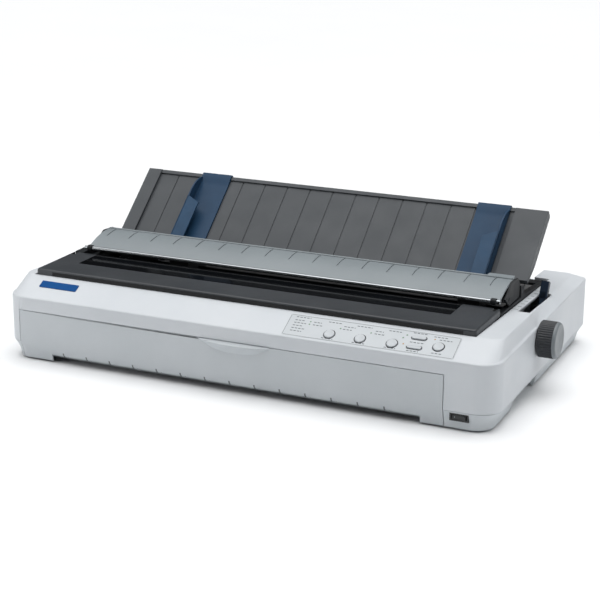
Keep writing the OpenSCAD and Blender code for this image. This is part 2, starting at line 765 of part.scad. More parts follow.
module top_frame() color("#3C3F43") place() {
    frame_rail(cover_x1 - rail_w, cover_x1);
    frame_rail(-cover_x1, -cover_x1 + rail_w);
    frame_bar(cover_x0, -cover_x1 + eps);
    block(cover_x0, -guide_half - 0.8, frame_front, guide_pivot_y + 14, rail_top - 1, cover_top - 0.4);
    block(-cover_x1, cover_x1, frame_front, frame_front + 4, frame_ledge_z, frame_ledge_z + 7.5);
    block(-cover_x1 + 1, cover_x1 - 1, frame_rear - 14, frame_rear, frame_ledge_z, frame_ledge_z + 3);
    cover_arm(cover_arm_left);
    cover_arm(cover_arm_right);
}

// Arched section of the tension panel
function panel_arc(inset) = let (
    dy = panel_rear - panel_front,
    dz = panel_rear_z - panel_front_z,
    chord = norm([dy, dz]),
    r = pow(chord, 2) / (8 * panel_sag) + panel_sag / 2,
    cy = (panel_front + panel_rear) / 2 + dz / chord * (r - panel_sag),
    cz = (panel_front_z + panel_rear_z) / 2 - dy / chord * (r - panel_sag),
    a0 = atan2(panel_front_z - cz, panel_front - cy),
    a1 = atan2(panel_rear_z - cz, panel_rear - cy))
    arc(cy, cz, r - inset, a0, a1, 12);

function backwards(list) = [for (i = [len(list) - 1:-1:0]) list[i]];

module tension_panel() color("#9A9FA2") place() {
    difference() {
        along_x(-panel_half, panel_half) polygon(concat(panel_arc(0), backwards(panel_arc(panel_t))));
        for (i = [-8:8]) block(i * rib_pitch - 4.6, i * rib_pitch - 3.4, panel_rear - 12, panel_rear + 5,
            panel_rear_z - 1, panel_rear_z + 5);
    }
    block(-panel_half, panel_half, panel_rear - 0.5, panel_rear + panel_lip, panel_rear_z - panel_t,
        panel_rear_z);
    block(panel_half - 31, panel_half - 1, panel_rear + 6, panel_rear + 18, panel_rear_z - panel_t,
        panel_rear_z + 1.2);
}

module cheek_outline() polygon([[152, cheek_low], [137, 105], [panel_rear - 3, panel_rear_z + 0.4],
    [cheek_rear - 7, panel_rear_z - 0.9], [cheek_rear, guide_pivot_z + 12], [cheek_rear, cheek_low]]);

module tension_frame() color("#3C3F43") place() {
    both_sides() {
        difference() {
            along_x(panel_half, panel_half + 2.6) cheek_outline();
            rod_x(panel_half - 1, panel_half + 4, roller_y, roller_z, 2 + run_gap);
        }
        difference() {
            union() {
                rod_x(cheek_x - 6, cheek_x, bar_y, bar_z, bar_r + 1.2);
                along_x(cheek_x - 6, cheek_x) polygon([[bar_y, bar_z - 4.1], [bar_y, bar_z - 3.4],
                    [139, 106.4], [145, 102], [139, 101.5]]);
            }
            rod_x(cheek_x - 7, cheek_x + 1, bar_y, bar_z, bar_r);
            rod_x(cheek_x - 7, cheek_x + 1, roller_y, roller_z, roller_r + 1);
        }
    }
    block(-panel_half, panel_half, 160, cheek_rear - 3, cheek_low, cheek_low + 2.4);
    block(-panel_half, panel_half, cheek_rear - 3, cheek_rear - 0.6, cheek_low, panel_rear_z - 5);
    along_x(-panel_half, panel_half) polygon([[panel_rear, panel_rear_z - 4.4],
        [panel_rear, panel_rear_z - 2.6], [cheek_rear - 3, panel_rear_z - 4.8],
        [cheek_rear - 3, panel_rear_z - 6.6]]);
    block(-panel_half, panel_half, 137, 139, 101.5, 106.4);
}

module paper_bar() color("#C8CCCF") place() rod_x(-panel_half - 2.5, panel_half + 2.5, bar_y, bar_z, bar_r);

module tension_rollers() color("#303234") place() {
    rod_x(-panel_half - 2.4, panel_half + 2.4, roller_y, roller_z, 2);
    for (i = [-3:3]) difference() {
        rod_x(i * 70 - 8, i * 70 + 8, roller_y, roller_z, roller_r);
        rod_x(i * 70 - 9, i * 70 + 9, roller_y, roller_z, 2);
    }
}

module paper_guide() color("#5A5E60") place() on_guide() {
    difference() {
        block(-guide_half, guide_half, guide_low, guide_len, guide_back, band_up);
        block(-guide_half + guide_band_left, guide_half - guide_band_right, guide_low - 1, guide_len - 5,
            guide_floor, band_up + 1);
        for (i = [-8:6]) block(i * rib_pitch + 23.3, i * rib_pitch + 24.7, guide_low - 1, guide_len - 5,
            guide_floor - 0.7, guide_floor + 1);
        block(-guide_half + guide_band_left, guide_half - guide_band_right, guide_len - 6, guide_len + 1,
            guide_floor + guide_lip, band_up + 1);
    }
    both_sides() {
        rod_x(arm_x, arm_x + arm_t, 0, 0, 4.4);
        block(arm_x, arm_x + arm_t, 0, guide_low + 6, guide_back + 0.1, band_up - 0.2);
        rod_x(arm_x + arm_t - 1, arm_x + arm_t + slide_gap + rail_w, 0, 0, guide_pin_r);
    }
    both_sides() along_x(guide_half - 5, guide_half) polygon([[guide_low + 1, guide_back + 0.1],
        [guide_low + 27, guide_back - side_drop], [guide_len, guide_back - side_drop],
        [guide_len, guide_back + 0.1]]);
    block(-arm_x, arm_x, 9, guide_low + 1, guide_back, guide_floor);
}

// Edge guide with its fence at x = 0 and its plate towards +X
module edge_guide() color("#3E5570") on_guide() {
    plate_low = guide_low + slide_gap;
    lip_floor = guide_floor + guide_lip + slide_gap;
    block(0, edge_plate_w, plate_low, guide_len - 6.5, guide_floor + slide_gap, guide_floor + 2.3);
    block(0, edge_plate_w, guide_len - 7.5, guide_len + 2.3, lip_floor, guide_floor + 4);
    block(0, edge_plate_w, guide_len + slide_gap, guide_len + 2.3, guide_back - 2.3, guide_floor + 4);
    block(0, edge_plate_w, guide_len - 8, guide_len + 2, guide_back - 2.3, guide_back - slide_gap);
    along_x(0, 2) polygon(concat([[fence_low, guide_floor + 1], [fence_low, fence_h]],
        arc(fence_top + 8, fence_h - fence_r, fence_r, 90, atan2(fence_r - fence_drop, fence_run), 10),
        [[guide_len - 6.5, guide_floor + 2.2], [guide_len - 6.5, guide_floor + 1]]));
    translate([0, 0, fence_h - 2]) linear_extrude(2)
        polygon([[0, fence_low], [flange_in, fence_low], [flange_in, fence_top - 12], [0, fence_top]]);
}

module edge_guide_left() place() translate([-edge_left_x, 0, 0]) edge_guide();
module edge_guide_right() place() translate([edge_right_x, 0, 0]) mirror([1, 0, 0]) edge_guide();

// ---------- controls ----------

module release_lever() color("#1E3040") place() {
    rod_x(lever_x - lever_w / 2, lever_x + lever_w / 2, lever_y, lever_z, 6.5);
    rod_x(lever_x - lever_w / 2 - slide_gap - 3.8, lever_x + lever_w / 2 + slide_gap + 3.8, lever_y, lever_z,
        lever_pin_r);
    translate([lever_x, lever_y, lever_z]) rotate([-lever_lean, 0, 0]) {
        block(-lever_w / 2 + 1.5, lever_w / 2 - 1.5, -3.2, 3.2, 0, lever_len - 12);
        block(-lever_w / 2, lever_w / 2, -3.2, 3.2, lever_len - 20, lever_len);
    }
}

module platen_knob() color("#3A3D42") place() difference() {
    union() {
        rod_x(half_w + 0.8, half_w + knob_reach - 3, platen_y, platen_z, knob_r);
        translate([half_w + knob_reach - 3, platen_y, platen_z]) rotate([0, 90, 0])
            cylinder(h = 3, r1 = knob_r, r2 = knob_r - 2.5, $fn = 72);
        rod_x(half_w - 6, half_w + 1, platen_y, platen_z, platen_shaft_r + 5);
    }
    rod_x(half_w - 7, half_w + knob_reach - 8, platen_y, platen_z, platen_shaft_r);
    for (i = [0:29]) translate([0, platen_y, platen_z]) rotate([i * 12, 0, 0])
        rod_x(half_w + 2.5, half_w + knob_reach - 4, 0, knob_r + 0.5, 1.1);
}

module platen_shaft() color("#B8BCBF") place()
    rod_x(gear_x - 1, half_w + knob_reach - 8, platen_y, platen_z, platen_shaft_r);

module platen_roller() color("#1C1D1F") place()
    ring_x(-platen_half, platen_half, platen_y, platen_z, platen_r, platen_shaft_r);

module bar_shape(grow, z0, z1) translate([0, 0, z0]) linear_extrude(z1 - z0) {
    square([bar_button_w - bar_button_d, bar_button_d + 2 * grow], center = true);
    for (s = [-1, 1]) translate([s * (bar_button_w - bar_button_d) / 2, 0])
        circle(r = bar_button_d / 2 + grow);
}

module round_button(place_on) color("#DDE0E2") place() on_bezel(place_on[0], place_on[1]) {
    translate([0, 0, -button_body]) cylinder(h = button_body + button_up, r = button_r);
    translate([0, 0, -button_body]) cylinder(h = 1.2, r = button_r + flange_w);
}

module bar_button(place_on) color("#DDE0E2") place() on_bezel(place_on[0], place_on[1]) {
    bar_shape(0, -button_body, button_up);
    bar_shape(flange_w, -button_body, -button_body + 1.2);
}

module round_button_1() round_button(round_buttons[0]);
module round_button_2() round_button(round_buttons[1]);
module round_button_3() round_button(round_buttons[2]);
module round_button_4() round_button(round_buttons[3]);
module bar_button_1() bar_button(bar_buttons[0]);
module bar_button_2() bar_button(bar_buttons[1]);

module panel_board() color("#2F6B45") place() on_bezel(panel_x, 18) {
    block(-76, 76, -12, 12, -button_body - board_gap - board_t, -button_body - board_gap);
    for (x = [-73, -42, -6, 54]) block(x, x + 3, -12, -9, -button_body - board_gap, -wall - 0.4);
}

module switch_body() color("#1C1F22") place() difference() {
    block(switch_x - switch_w / 2, switch_x + switch_w / 2, switch_face_y, switch_face_y + switch_d,
        switch_z, switch_z + switch_h);
    block(switch_x - switch_w / 2 + 2, switch_x + switch_w / 2 - 2, switch_face_y - 1, switch_face_y + 8,
        switch_z + 1.6, switch_z + switch_h - 1.6);
    translate([switch_x, switch_face_y + 5, switch_z + 0.6]) cylinder(h = switch_h - 1.2, r = 1 + run_gap);
}

module power_rocker() color("#26292C") place() translate([switch_x, switch_face_y + 5, 0]) {
    translate([0, 0, switch_z + 0.8]) cylinder(h = switch_h - 1.6, r = 1);
    translate([0, 0, switch_z + 1.9]) linear_extrude(switch_h - 3.8)
        polygon([[-switch_w / 2 + 3, 0.8], [-switch_w / 2 + 3, -5.6], [0, -4.6], [switch_w / 2 - 3, -6.4],
            [switch_w / 2 - 3, 0.8]]);
}

// ---------- feed train ----------

module platen_gear() color("#E6E4DC") place()
    gear(platen_y, platen_z, gear_teeth, platen_gear_turn, platen_shaft_r);

module idler_gear() color("#E6E4DC") place()
    gear(idler_y, idler_z, idler_teeth, idler_turn, drive_r + run_gap);

module tractor_drive() color("#B0B4B7") place() {
    gear(drive_y, drive_z, gear_teeth, drive_turn, drive_r);
    rod_x(gear_x, -frame_half + 2, drive_y, drive_z, drive_r);
    rod_x(frame_half - 2, frame_half + frame_t + 2, drive_y, drive_z, drive_r);
    along_x(-frame_half + 1, frame_half - 1) translate([drive_y, drive_z]) square(shaft_side, center = true);
}

shaft_side = 2 * drive_r * 0.7;

module tractor_rod() color("#B0B4B7") place()
    rod_x(-frame_half - frame_t, frame_half + frame_t, rod_y, rod_z, rod_r);

module frame_bushes() color("#D8D6CC") place() for (x = [-frame_half - frame_t, frame_half])
    ring_x(x, x + frame_t, platen_y, platen_z, platen_shaft_r + 3, platen_shaft_r + run_gap);

module feed_motor() color("#8A8E91") place() {
    rod_x(-frame_half, -frame_half + motor_len, pinion_y, pinion_z, motor_r);
    rod_x(gear_x - 1, -frame_half + 1, pinion_y, pinion_z, 2);
}

module feed_pinion() color("#C9A24B") place()
    gear(pinion_y, pinion_z, pinion_teeth, pinion_turn, 2 + run_gap);

module pinch_rollers() color("#2A2B2D") place() {
    rod_x(-frame_half - frame_t, frame_half + frame_t, pinch_y, pinch_z, pinch_shaft_r);
    for (i = [-3:3]) ring_x(i * 60 - 12, i * 60 + 12, pinch_y, pinch_z, pinch_r, pinch_shaft_r);
}

// Tractor with its lid hinge at its left side, centred on x = 0
tractor_low = drive_z - 20;
tractor_high = drive_z + 10;
module tractor_body() color("#2C2E31") difference() {
    block(-tractor_w / 2, tractor_w / 2, drive_y - 16, drive_y + 32, tractor_low, tractor_high);
    block(-4, tractor_w / 2 - 3, drive_y - 13, drive_y + 13, drive_z - 13, tractor_high + 1);
    rod_x(-tractor_w, tractor_w, drive_y, drive_z, drive_r + 2.6);
    rod_x(-tractor_w, tractor_w, rod_y, rod_z, rod_r + run_gap);
    block(-tractor_w / 2 - 1, -tractor_w / 2 + 5, drive_y - 9, drive_y + 26,
        tractor_high - 4.4, tractor_high + 1);
}
module tractor_pin() color("#2C2E31")
    translate([-tractor_w / 2 + 2.4, drive_y - 10, tractor_high - 2]) rotate([-90, 0, 0])
        cylinder(h = 37, r = 1.2);

module tractor_lid() color("#3A3D42") difference() {
    union() {
        block(-tractor_w / 2 + 2.4, tractor_w / 2, drive_y - 8.6, drive_y + 25.6, tractor_high + 0.4,
            tractor_high + 2.6);
        translate([-tractor_w / 2 + 2.4, drive_y - 8.6, tractor_high - 2]) rotate([-90, 0, 0])
            cylinder(h = 34.2, r = 2.2);
        block(-tractor_w / 2 + 1, -tractor_w / 2 + 3.8, drive_y - 8.6, drive_y + 25.6, tractor_high - 2,
            tractor_high + 2.6);
    }
    translate([-tractor_w / 2 + 2.4, drive_y - 10, tractor_high - 2]) rotate([-90, 0, 0])
        cylinder(h = 40, r = 1.2 + run_gap);
    block(-2, tractor_w / 2 - 4, drive_y - 6, drive_y + 6, tractor_high - 1, tractor_high + 5);
}

module sprocket() color("#E6E4DC") difference() {
    union() {
        rod_x(-3, 8, drive_y, drive_z, 9);
        for (i = [0:7]) translate([2.5, drive_y, drive_z]) rotate([i * 45, 0, 0]) cylinder(h = 11.2, r = 1.4);
    }
    along_x(-4, 9) translate([drive_y, drive_z]) square(shaft_side + 0.2, center = true);
}

module tractor_left() place() translate([-tractor_x, 0, 0]) {
    tractor_body();
    tractor_pin();
}
module tractor_right() place() translate([tractor_x, 0, 0]) mirror([1, 0, 0]) {
    tractor_body();
    tractor_pin();
}
module tractor_lid_left() place() translate([-tractor_x, 0, 0]) tractor_lid();
module tractor_lid_right() place() translate([tractor_x, 0, 0]) mirror([1, 0, 0]) tractor_lid();
module sprocket_left() place() translate([-tractor_x, 0, 0]) sprocket();
module sprocket_right() place() translate([tractor_x, 0, 0]) mirror([1, 0, 0]) sprocket();

// ---------- print mechanism ----------

module side_frame(x) difference() {
    along_x(x, x + frame_t) polygon([[cassette_front - 2, cassette_low], [cassette_front - 2, 40],
        [rail_y - 20, 12], [rail_y - 20, 8], [case_d - 60, 8], [case_d - 60, 30],
        [drive_y + 24, tractor_low], [drive_y + 24, drive_z + 8], [drive_y - 20, drive_z + 8],
        [platen_y + 24, platen_z + 16], [cassette_rear + 4, platen_z + 16],
        [cassette_rear + 4, cassette_low]]);
    rod_x(x - 1, x + frame_t + 1, platen_y, platen_z, platen_shaft_r + 3);
    rod_x(x - 1, x + frame_t + 1, rail_y, rail_z, rail_r);
    rod_x(x - 1, x + frame_t + 1, drive_y, drive_z, drive_r + run_gap);
    rod_x(x - 1, x + frame_t + 1, rod_y, rod_z, rod_r);
    rod_x(x - 1, x + frame_t + 1, pinch_y, pinch_z, pinch_shaft_r + run_gap);
}

module side_frame_left() color("#A9ADB0") place() difference() {
    union() {
        side_frame(-frame_half - frame_t);
        rod_x(gear_x - 1, -frame_half - frame_t, idler_y, idler_z, drive_r);
    }
    rod_x(-frame_half - frame_t - 1, -frame_half + 1, pinion_y, pinion_z, 2 + run_gap);
}
module side_frame_right() color("#A9ADB0") place() side_frame(frame_half);

module carriage_shaft() color("#C8CCCF") place()
    rod_x(-frame_half - frame_t, frame_half + frame_t, rail_y, rail_z, rail_r);

module carriage_rail() color("#9EA2A5") place() difference() {
    union() {
        block(-frame_half, frame_half, plate_front, plate_rear, plate_z, plate_z + plate_t);
        block(-frame_half, frame_half, plate_rear - plate_t, plate_rear, plate_z, plate_z + 9);
    }
    translate([pulley_x, belt_y, 0]) cylinder(h = 80, r = 4);
}

module carriage() color("#26282B") place() translate([-carriage_rest, 0, 0]) difference() {
    union() {
        block(-carriage_w / 2, carriage_w / 2, carriage_front, carriage_rear, carriage_low, carriage_high);
        block(-carriage_w / 2, carriage_w / 2, plate_rear + slide_gap, carriage_front + 1,
            plate_z, carriage_high);
        block(-6, 6, belt_y + pulley_r + slide_gap, carriage_front + 1, belt_z0, belt_z1);
    }
    rod_x(-carriage_w, carriage_w, rail_y, rail_z, rail_r + run_gap);
    block(-18, 18, carriage_front + 6, carriage_rear + 1, rail_z + rail_r + 4, 80);
}

module print_head() color("#6E7275") place() translate([-carriage_rest, 0, 0]) {
    block(-17, 17, carriage_front + 7, carriage_rear - 8, rail_z + rail_r + 4, 68);
    for (i = [0:5]) block(-17, 17, carriage_front + 7 + i * 4.4, carriage_front + 9 + i * 4.4, 67, 80);
    along_x(-5, 5) polygon([[carriage_rear - 9, 56], [carriage_rear - 9, 67], [platen_y - platen_r - 3.4, 64],
        [platen_y - platen_r - 3.4, 60]]);
}

module carriage_motor() color("#8A8E91") place() translate([pulley_x, belt_y, 0]) {
    translate([0, 0, plate_z + plate_t]) cylinder(h = 22, r = plate_rear - plate_t - belt_y - 0.5);
    translate([0, 0, belt_z0 - 1]) cylinder(h = plate_z + plate_t - belt_z0 + 2, r = 2);
}

module pulley(x) color("#C9A24B") place() translate([x, belt_y, 0]) difference() {
    union() {
        translate([0, 0, belt_z0]) cylinder(h = belt_z1 - belt_z0 + 1, r = pulley_r - belt_t);
        translate([0, 0, belt_z1 + slide_gap]) cylinder(h = 1.2, r = pulley_r + 1);
    }
    translate([0, 0, belt_z0 - 2]) cylinder(h = 20, r = 2 + run_gap);
}

module motor_pulley() pulley(pulley_x);
module belt_idler() pulley(-pulley_x);

module timing_belt() color("#1B1C1E") place() translate([0, belt_y, belt_z0 + 0.3]) {
    linear_extrude(belt_z1 - belt_z0 - 0.6) difference() {
        union() {
            square([2 * pulley_x, 2 * pulley_r], center = true);
            for (s = [-1, 1]) translate([s * pulley_x, 0]) circle(r = pulley_r);
        }
        square([2 * pulley_x, 2 * (pulley_r - belt_t + slide_gap)], center = true);
        for (s = [-1, 1]) translate([s * pulley_x, 0]) circle(r = pulley_r - belt_t + slide_gap);
    }
}

module ribbon_cartridge() color("#18191B") place() difference() {
    union() {
        block(-frame_half - frame_t, frame_half + frame_t, cassette_front, cassette_rear, cassette_low,
            cassette_high);
        both_sides() {
            block(platen_half + 8, frame_half - 6, cassette_rear - 5, cassette_rear + 8,
                arm_low, cassette_high);
            block(platen_half + 8, frame_half - 6, cassette_rear - 5, platen_y - 18, arm_low, arm_high);
            block(platen_half + 8, frame_half - 6, platen_y - 30, platen_y - 18, platen_z - 7, arm_high);
        }
        block(-platen_half - 9, platen_half + 9, platen_y - platen_r - 2.6, platen_y - platen_r - 2.2,
            platen_z - 6.5, platen_z + 6.5);
        both_sides()
            block(platen_half + 8, platen_half + 10, platen_y - 19, platen_y - platen_r - 2.2, platen_z - 6.5,
                platen_z + 6.5);
    }
    translate([ribbon_knob_x, ribbon_knob_y, cassette_high - 7]) cylinder(h = 10, r = 3 + run_gap);
}

module ribbon_knob() color("#3F4246") place() translate([ribbon_knob_x, ribbon_knob_y, 0]) {
    translate([0, 0, cassette_high - 6]) cylinder(h = 7, r = 3);
    translate([0, 0, cassette_high + slide_gap]) cylinder(h = 3, r = 9);
    translate([-1, -8, cassette_high + 3]) cube([2, 16, 1]);
}

// Pan under the tractors: it carries paper fed from the rear clear of the boards and bears on the rear sill
pan_t = 1.5;
pan_top = tractor_low - 2.2;
pan_front = platen_y + platen_r + 6;
pan_bend = drive_y + 34;
pan_rear = case_d - wall - 0.5;
pan_ledge_y = case_d - wall - 8;
pan_rear_z = rear_sill_z - 3;
function pan_z(y) = pan_top + max(0, y - pan_bend) * (pan_rear_z - pan_top) / (pan_ledge_y - pan_bend);

function pan_line(from) = concat([[from, pan_z(from)]], from < pan_bend ? [[pan_bend, pan_top]] : [],
    [[pan_ledge_y, pan_rear_z], [pan_rear, pan_rear_z]]);

module pan_sheet(x0, x1, from) along_x(x0, x1)
    polygon(concat(pan_line(from), [for (p = backwards(pan_line(from))) [p[0], p[1] - pan_t]]));

module rear_pan() {
    pan_sheet(-frame_half + motor_len + 2, frame_half, pan_front);
    pan_sheet(-frame_half, -frame_half + motor_len + 3, pinion_y + motor_r + 2);
    pan_sheet(-notch_half + 1, notch_half - 1, case_d - 57);
    for (i = [-4:4]) along_x(i * 56 - 0.8, i * 56 + 0.8) polygon([[pan_bend + 8, pan_z(pan_bend + 8) - 0.5],
        [pan_bend + 8, pan_z(pan_bend + 8) + 0.2], [pan_bend + 16, pan_z(pan_bend + 16) + 1.8],
        [pan_ledge_y - 4, pan_z(pan_ledge_y - 4) + 1.8], [pan_ledge_y - 4, pan_z(pan_ledge_y - 4) - 0.5]]);
}

module paper_chute() color("#3A3D40") place() {
    rear_pan();
    along_x(-platen_half, platen_half) polygon([[34, floor_z], [40, floor_z], [136, 36.4], [136, 38],
        [134, 38], [34, floor_z + 2]]);
    for (x = [-platen_half + 16, -70, 70, platen_half - 16]) along_x(x - 1.5, x + 1.5)
        polygon([[40, floor_z], [120, floor_z], [120, 31.2], [44, 5.4]]);
}

// ---------- electronics and rear ----------

module main_board() color("#2F6B45") place() {
    block(board_x0, board_x1, board_y0, board_y1, board_z, board_z + board_t);
    block(board_x1 - 120, board_x1 - 85, board_y0 + 35, board_y0 + 70, board_z + board_t, board_z + 5);
    block(board_x1 - 70, board_x1 - 46, board_y0 + 25, board_y0 + 49, board_z + board_t, board_z + 4);
    for (i = [0:3]) translate([board_x0 + 80 + i * 14, board_y0 + 25, board_z + board_t])
        cylinder(h = 14, r = 5);
    block(board_x1 - 40, board_x1 - 8, board_y1 - 46, board_y1 - 16, board_z + board_t, board_z + 18);
}

module power_supply() color("#A9ADB0") place() {
    difference() {
        block(supply_x0, supply_x1, supply_y0, supply_y1, board_z, supply_top);
        block(supply_x0 + sheet_t, supply_x1 - sheet_t, supply_y0 + sheet_t, supply_y1 - sheet_t,
            board_z + sheet_t, supply_top + 1);
    }
    block(supply_x0 + 8, supply_x0 + 48, supply_y0 + 18, supply_y0 + 53, board_z + sheet_t, supply_top - 8);
    translate([supply_x0 + 98, supply_y0 + 33, board_z + sheet_t]) cylinder(h = 26, r = 13);
}

module ac_inlet() color("#1B1D1F") place() difference() {
    block(inlet_x - inlet_w / 2, inlet_x + inlet_w / 2, case_d - 20, case_d - 0.5,
        inlet_z - inlet_h / 2, inlet_z + inlet_h / 2);
    block(inlet_x - inlet_w / 2 + 2, inlet_x + inlet_w / 2 - 2, case_d - 16, case_d + 1,
        inlet_z - inlet_h / 2 + 2, inlet_z + inlet_h / 2 - 2);
}

module rear_ports() color("#8C9093") place() {
    difference() {
        block(parallel_x - parallel_w / 2, parallel_x + parallel_w / 2, case_d - 18, case_d - 0.6,
            port_z - parallel_h / 2, port_z + parallel_h / 2);
        block(parallel_x - parallel_w / 2 + 3, parallel_x + parallel_w / 2 - 3, case_d - 10, case_d,
            port_z - parallel_h / 2 + 3, port_z + parallel_h / 2 - 3);
    }
    block(parallel_x - 26, parallel_x + 26, case_d - 11, case_d - 3, port_z - 1, port_z + 1);
    block(parallel_x - 20, parallel_x + 20, case_d - 18, case_d - 15, board_z + 1.6, port_z);
    difference() {
        block(usb_x - usb_w / 2, usb_x + usb_w / 2, case_d - 18, case_d - 0.6,
            port_z - usb_h / 2, port_z + usb_h / 2);
        block(usb_x - usb_w / 2 + 2, usb_x + usb_w / 2 - 2, case_d - 12, case_d, port_z - usb_h / 2 + 1.6,
            port_z + usb_h / 2 - 1.6);
    }
    block(usb_x - 4, usb_x + 4, case_d - 18, case_d - 15, board_z + 1.6, port_z);
}

module slot_cover() color("#A9ADB0") place() difference() {
    block(slot_x - slot_w / 2 + 0.3, slot_x + slot_w / 2 - 0.3, case_d - 1.5, case_d - 0.5,
        port_z - slot_h / 2 + 0.3, port_z + slot_h / 2 - 0.3);
    for (x = [-1, 1]) translate([slot_x + x * (slot_w / 2 - 2.5), case_d - 5, port_z])
        rotate([-90, 0, 0]) cylinder(h = 10, r = 1.3);
}

module case_screws() color("#9EA2A5") place() {
    for (p = boss_places) translate([p[0], p[1], 0]) {
        translate([0, 0, foot_h + 0.1]) cylinder(h = 14, r = boss_bore - 0.05);
        translate([0, 0, foot_h + 0.1]) cylinder(h = 1.1, r = screw_head_r);
    }
    for (x = [-1, 1]) translate([slot_x + x * (slot_w / 2 - 2.5), case_d, port_z]) rotate([90, 0, 0]) {
        cylinder(h = 0.5, r = 2.2);
        cylinder(h = 6, r = 1.15);
    }
}

lower_case();
upper_case();
rubber_feet();
front_door();
printer_cover();
cover_window();
top_frame();
tension_panel();
tension_frame();
paper_bar();
tension_rollers();
paper_guide();
edge_guide_left();
edge_guide_right();
release_lever();
platen_knob();
platen_shaft();
platen_roller();
platen_gear();
frame_bushes();
idler_gear();
tractor_drive();
tractor_rod();
feed_motor();
feed_pinion();
tractor_left();
tractor_right();
tractor_lid_left();
tractor_lid_right();
sprocket_left();
sprocket_right();
side_frame_left();
side_frame_right();
carriage_shaft();
carriage_rail();
carriage();
print_head();
carriage_motor();
motor_pulley();
belt_idler();
timing_belt();
ribbon_cartridge();
ribbon_knob();
pinch_rollers();
paper_chute();
main_board();
power_supply();
ac_inlet();
rear_ports();
slot_cover();
case_screws();
switch_body();
power_rocker();
panel_board();
round_button_1();
round_button_2();
round_button_3();
round_button_4();
bar_button_1();
bar_button_2();
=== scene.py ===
"""Wide carriage dot matrix printer: the visual model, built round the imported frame.

Every piece is made in millimetres in the case's own frame (x = 0 on the case's middle
plane, y = 0 at the front face, z = 0 on the table) and turned to metres at the end.
"""

import logging
import math
from dataclasses import dataclass, field
from enum import Enum
from typing import Any, Iterable, Sequence

import bmesh
import bpy
from mathutils import Matrix, Vector

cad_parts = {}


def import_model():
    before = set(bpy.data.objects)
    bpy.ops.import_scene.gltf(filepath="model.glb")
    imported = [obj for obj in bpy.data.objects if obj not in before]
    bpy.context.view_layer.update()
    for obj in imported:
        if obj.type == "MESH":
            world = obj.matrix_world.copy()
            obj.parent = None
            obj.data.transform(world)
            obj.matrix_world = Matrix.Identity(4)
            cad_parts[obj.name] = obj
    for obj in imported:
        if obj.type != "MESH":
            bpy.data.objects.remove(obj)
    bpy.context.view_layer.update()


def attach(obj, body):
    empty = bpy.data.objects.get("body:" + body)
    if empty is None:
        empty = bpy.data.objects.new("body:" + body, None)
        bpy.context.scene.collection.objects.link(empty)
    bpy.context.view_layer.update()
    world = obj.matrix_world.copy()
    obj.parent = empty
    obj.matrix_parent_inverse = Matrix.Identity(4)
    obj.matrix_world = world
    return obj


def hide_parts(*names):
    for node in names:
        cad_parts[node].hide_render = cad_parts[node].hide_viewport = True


LOG = logging.getLogger("printer")
MM = 0.001
# Moves the case's own frame, in mm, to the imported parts' frame.
CASE_TO_ROW = (-11.0, -172.25, 0.0)
# The paper guide's ribs, the tension panel's grooves and the door's ticks share one pitch.
RIB_PITCH = 30.4
# Kept off a full half circle, so that the ends of a rounded bar don't fall on one point.
ROUND_END = 0.01
Point = Sequence[float]
Pair = tuple[float, float]
Triple = tuple[float, float, float]
Table = tuple[Pair, ...]
Outline = list[Pair]


class Axis(Enum):
    """Direction along which a profile is drawn out."""

    X = 0
    Y = 1
    Z = 2


class Side(Enum):
    """Left or right of the printer, seen from its front."""

    LEFT = -1
    RIGHT = 1

    def span(self, near: float, far: float) -> Pair:
        """Ends along x, in rising order, of what lies between two distances out on this side.

        Args:
            near: one distance from the middle plane.
            far: the other.

        Returns:
            The two x values.
        """
        low, high = sorted((self.value * near, self.value * far))
        return (low, high)


# ---------------------------------------------------------------------------
# Colour and shader nodes
# ---------------------------------------------------------------------------


def linear(code: str) -> tuple[float, float, float, float]:
    """Turns an sRGB hex colour to linear RGBA.

    Args:
        code: colour such as "#C9CDD0".

    Returns:
        The linear red, green and blue with an alpha of one.
    """
    parts = [int(code[i : i + 2], 16) / 255.0 for i in (1, 3, 5)]
    r, g, b = (p / 12.92 if p <= 0.04045 else ((p + 0.055) / 1.055) ** 2.4 for p in parts)
    return (r, g, b, 1.0)


def add_node(tree: bpy.types.NodeTree, kind: str, settings: dict[str, Any] | None = None,
             links: dict[str, bpy.types.NodeSocket] | None = None) -> bpy.types.Node:
    """Adds one shader node with its settings and incoming links.

    Args:
        tree: node tree that gets the node.
        kind: Blender's type name of the node.
        settings: values by input name, or by property name where no input has that name.
        links: sockets that feed this node's inputs, by input name.

    Returns:
        The new node.
    """
    node = tree.nodes.new(kind)
    for key, value in (settings or {}).items():
        if key in node.inputs:
            node.inputs[key].default_value = value
        else:
            setattr(node, key, value)
    for key, socket in (links or {}).items():
        tree.links.new(socket, node.inputs[key])
    return node


def per_metre(size_mm: float) -> float:
    """Noise or wave scale whose pattern repeats about every size_mm."""
    return 1000.0 / size_mm


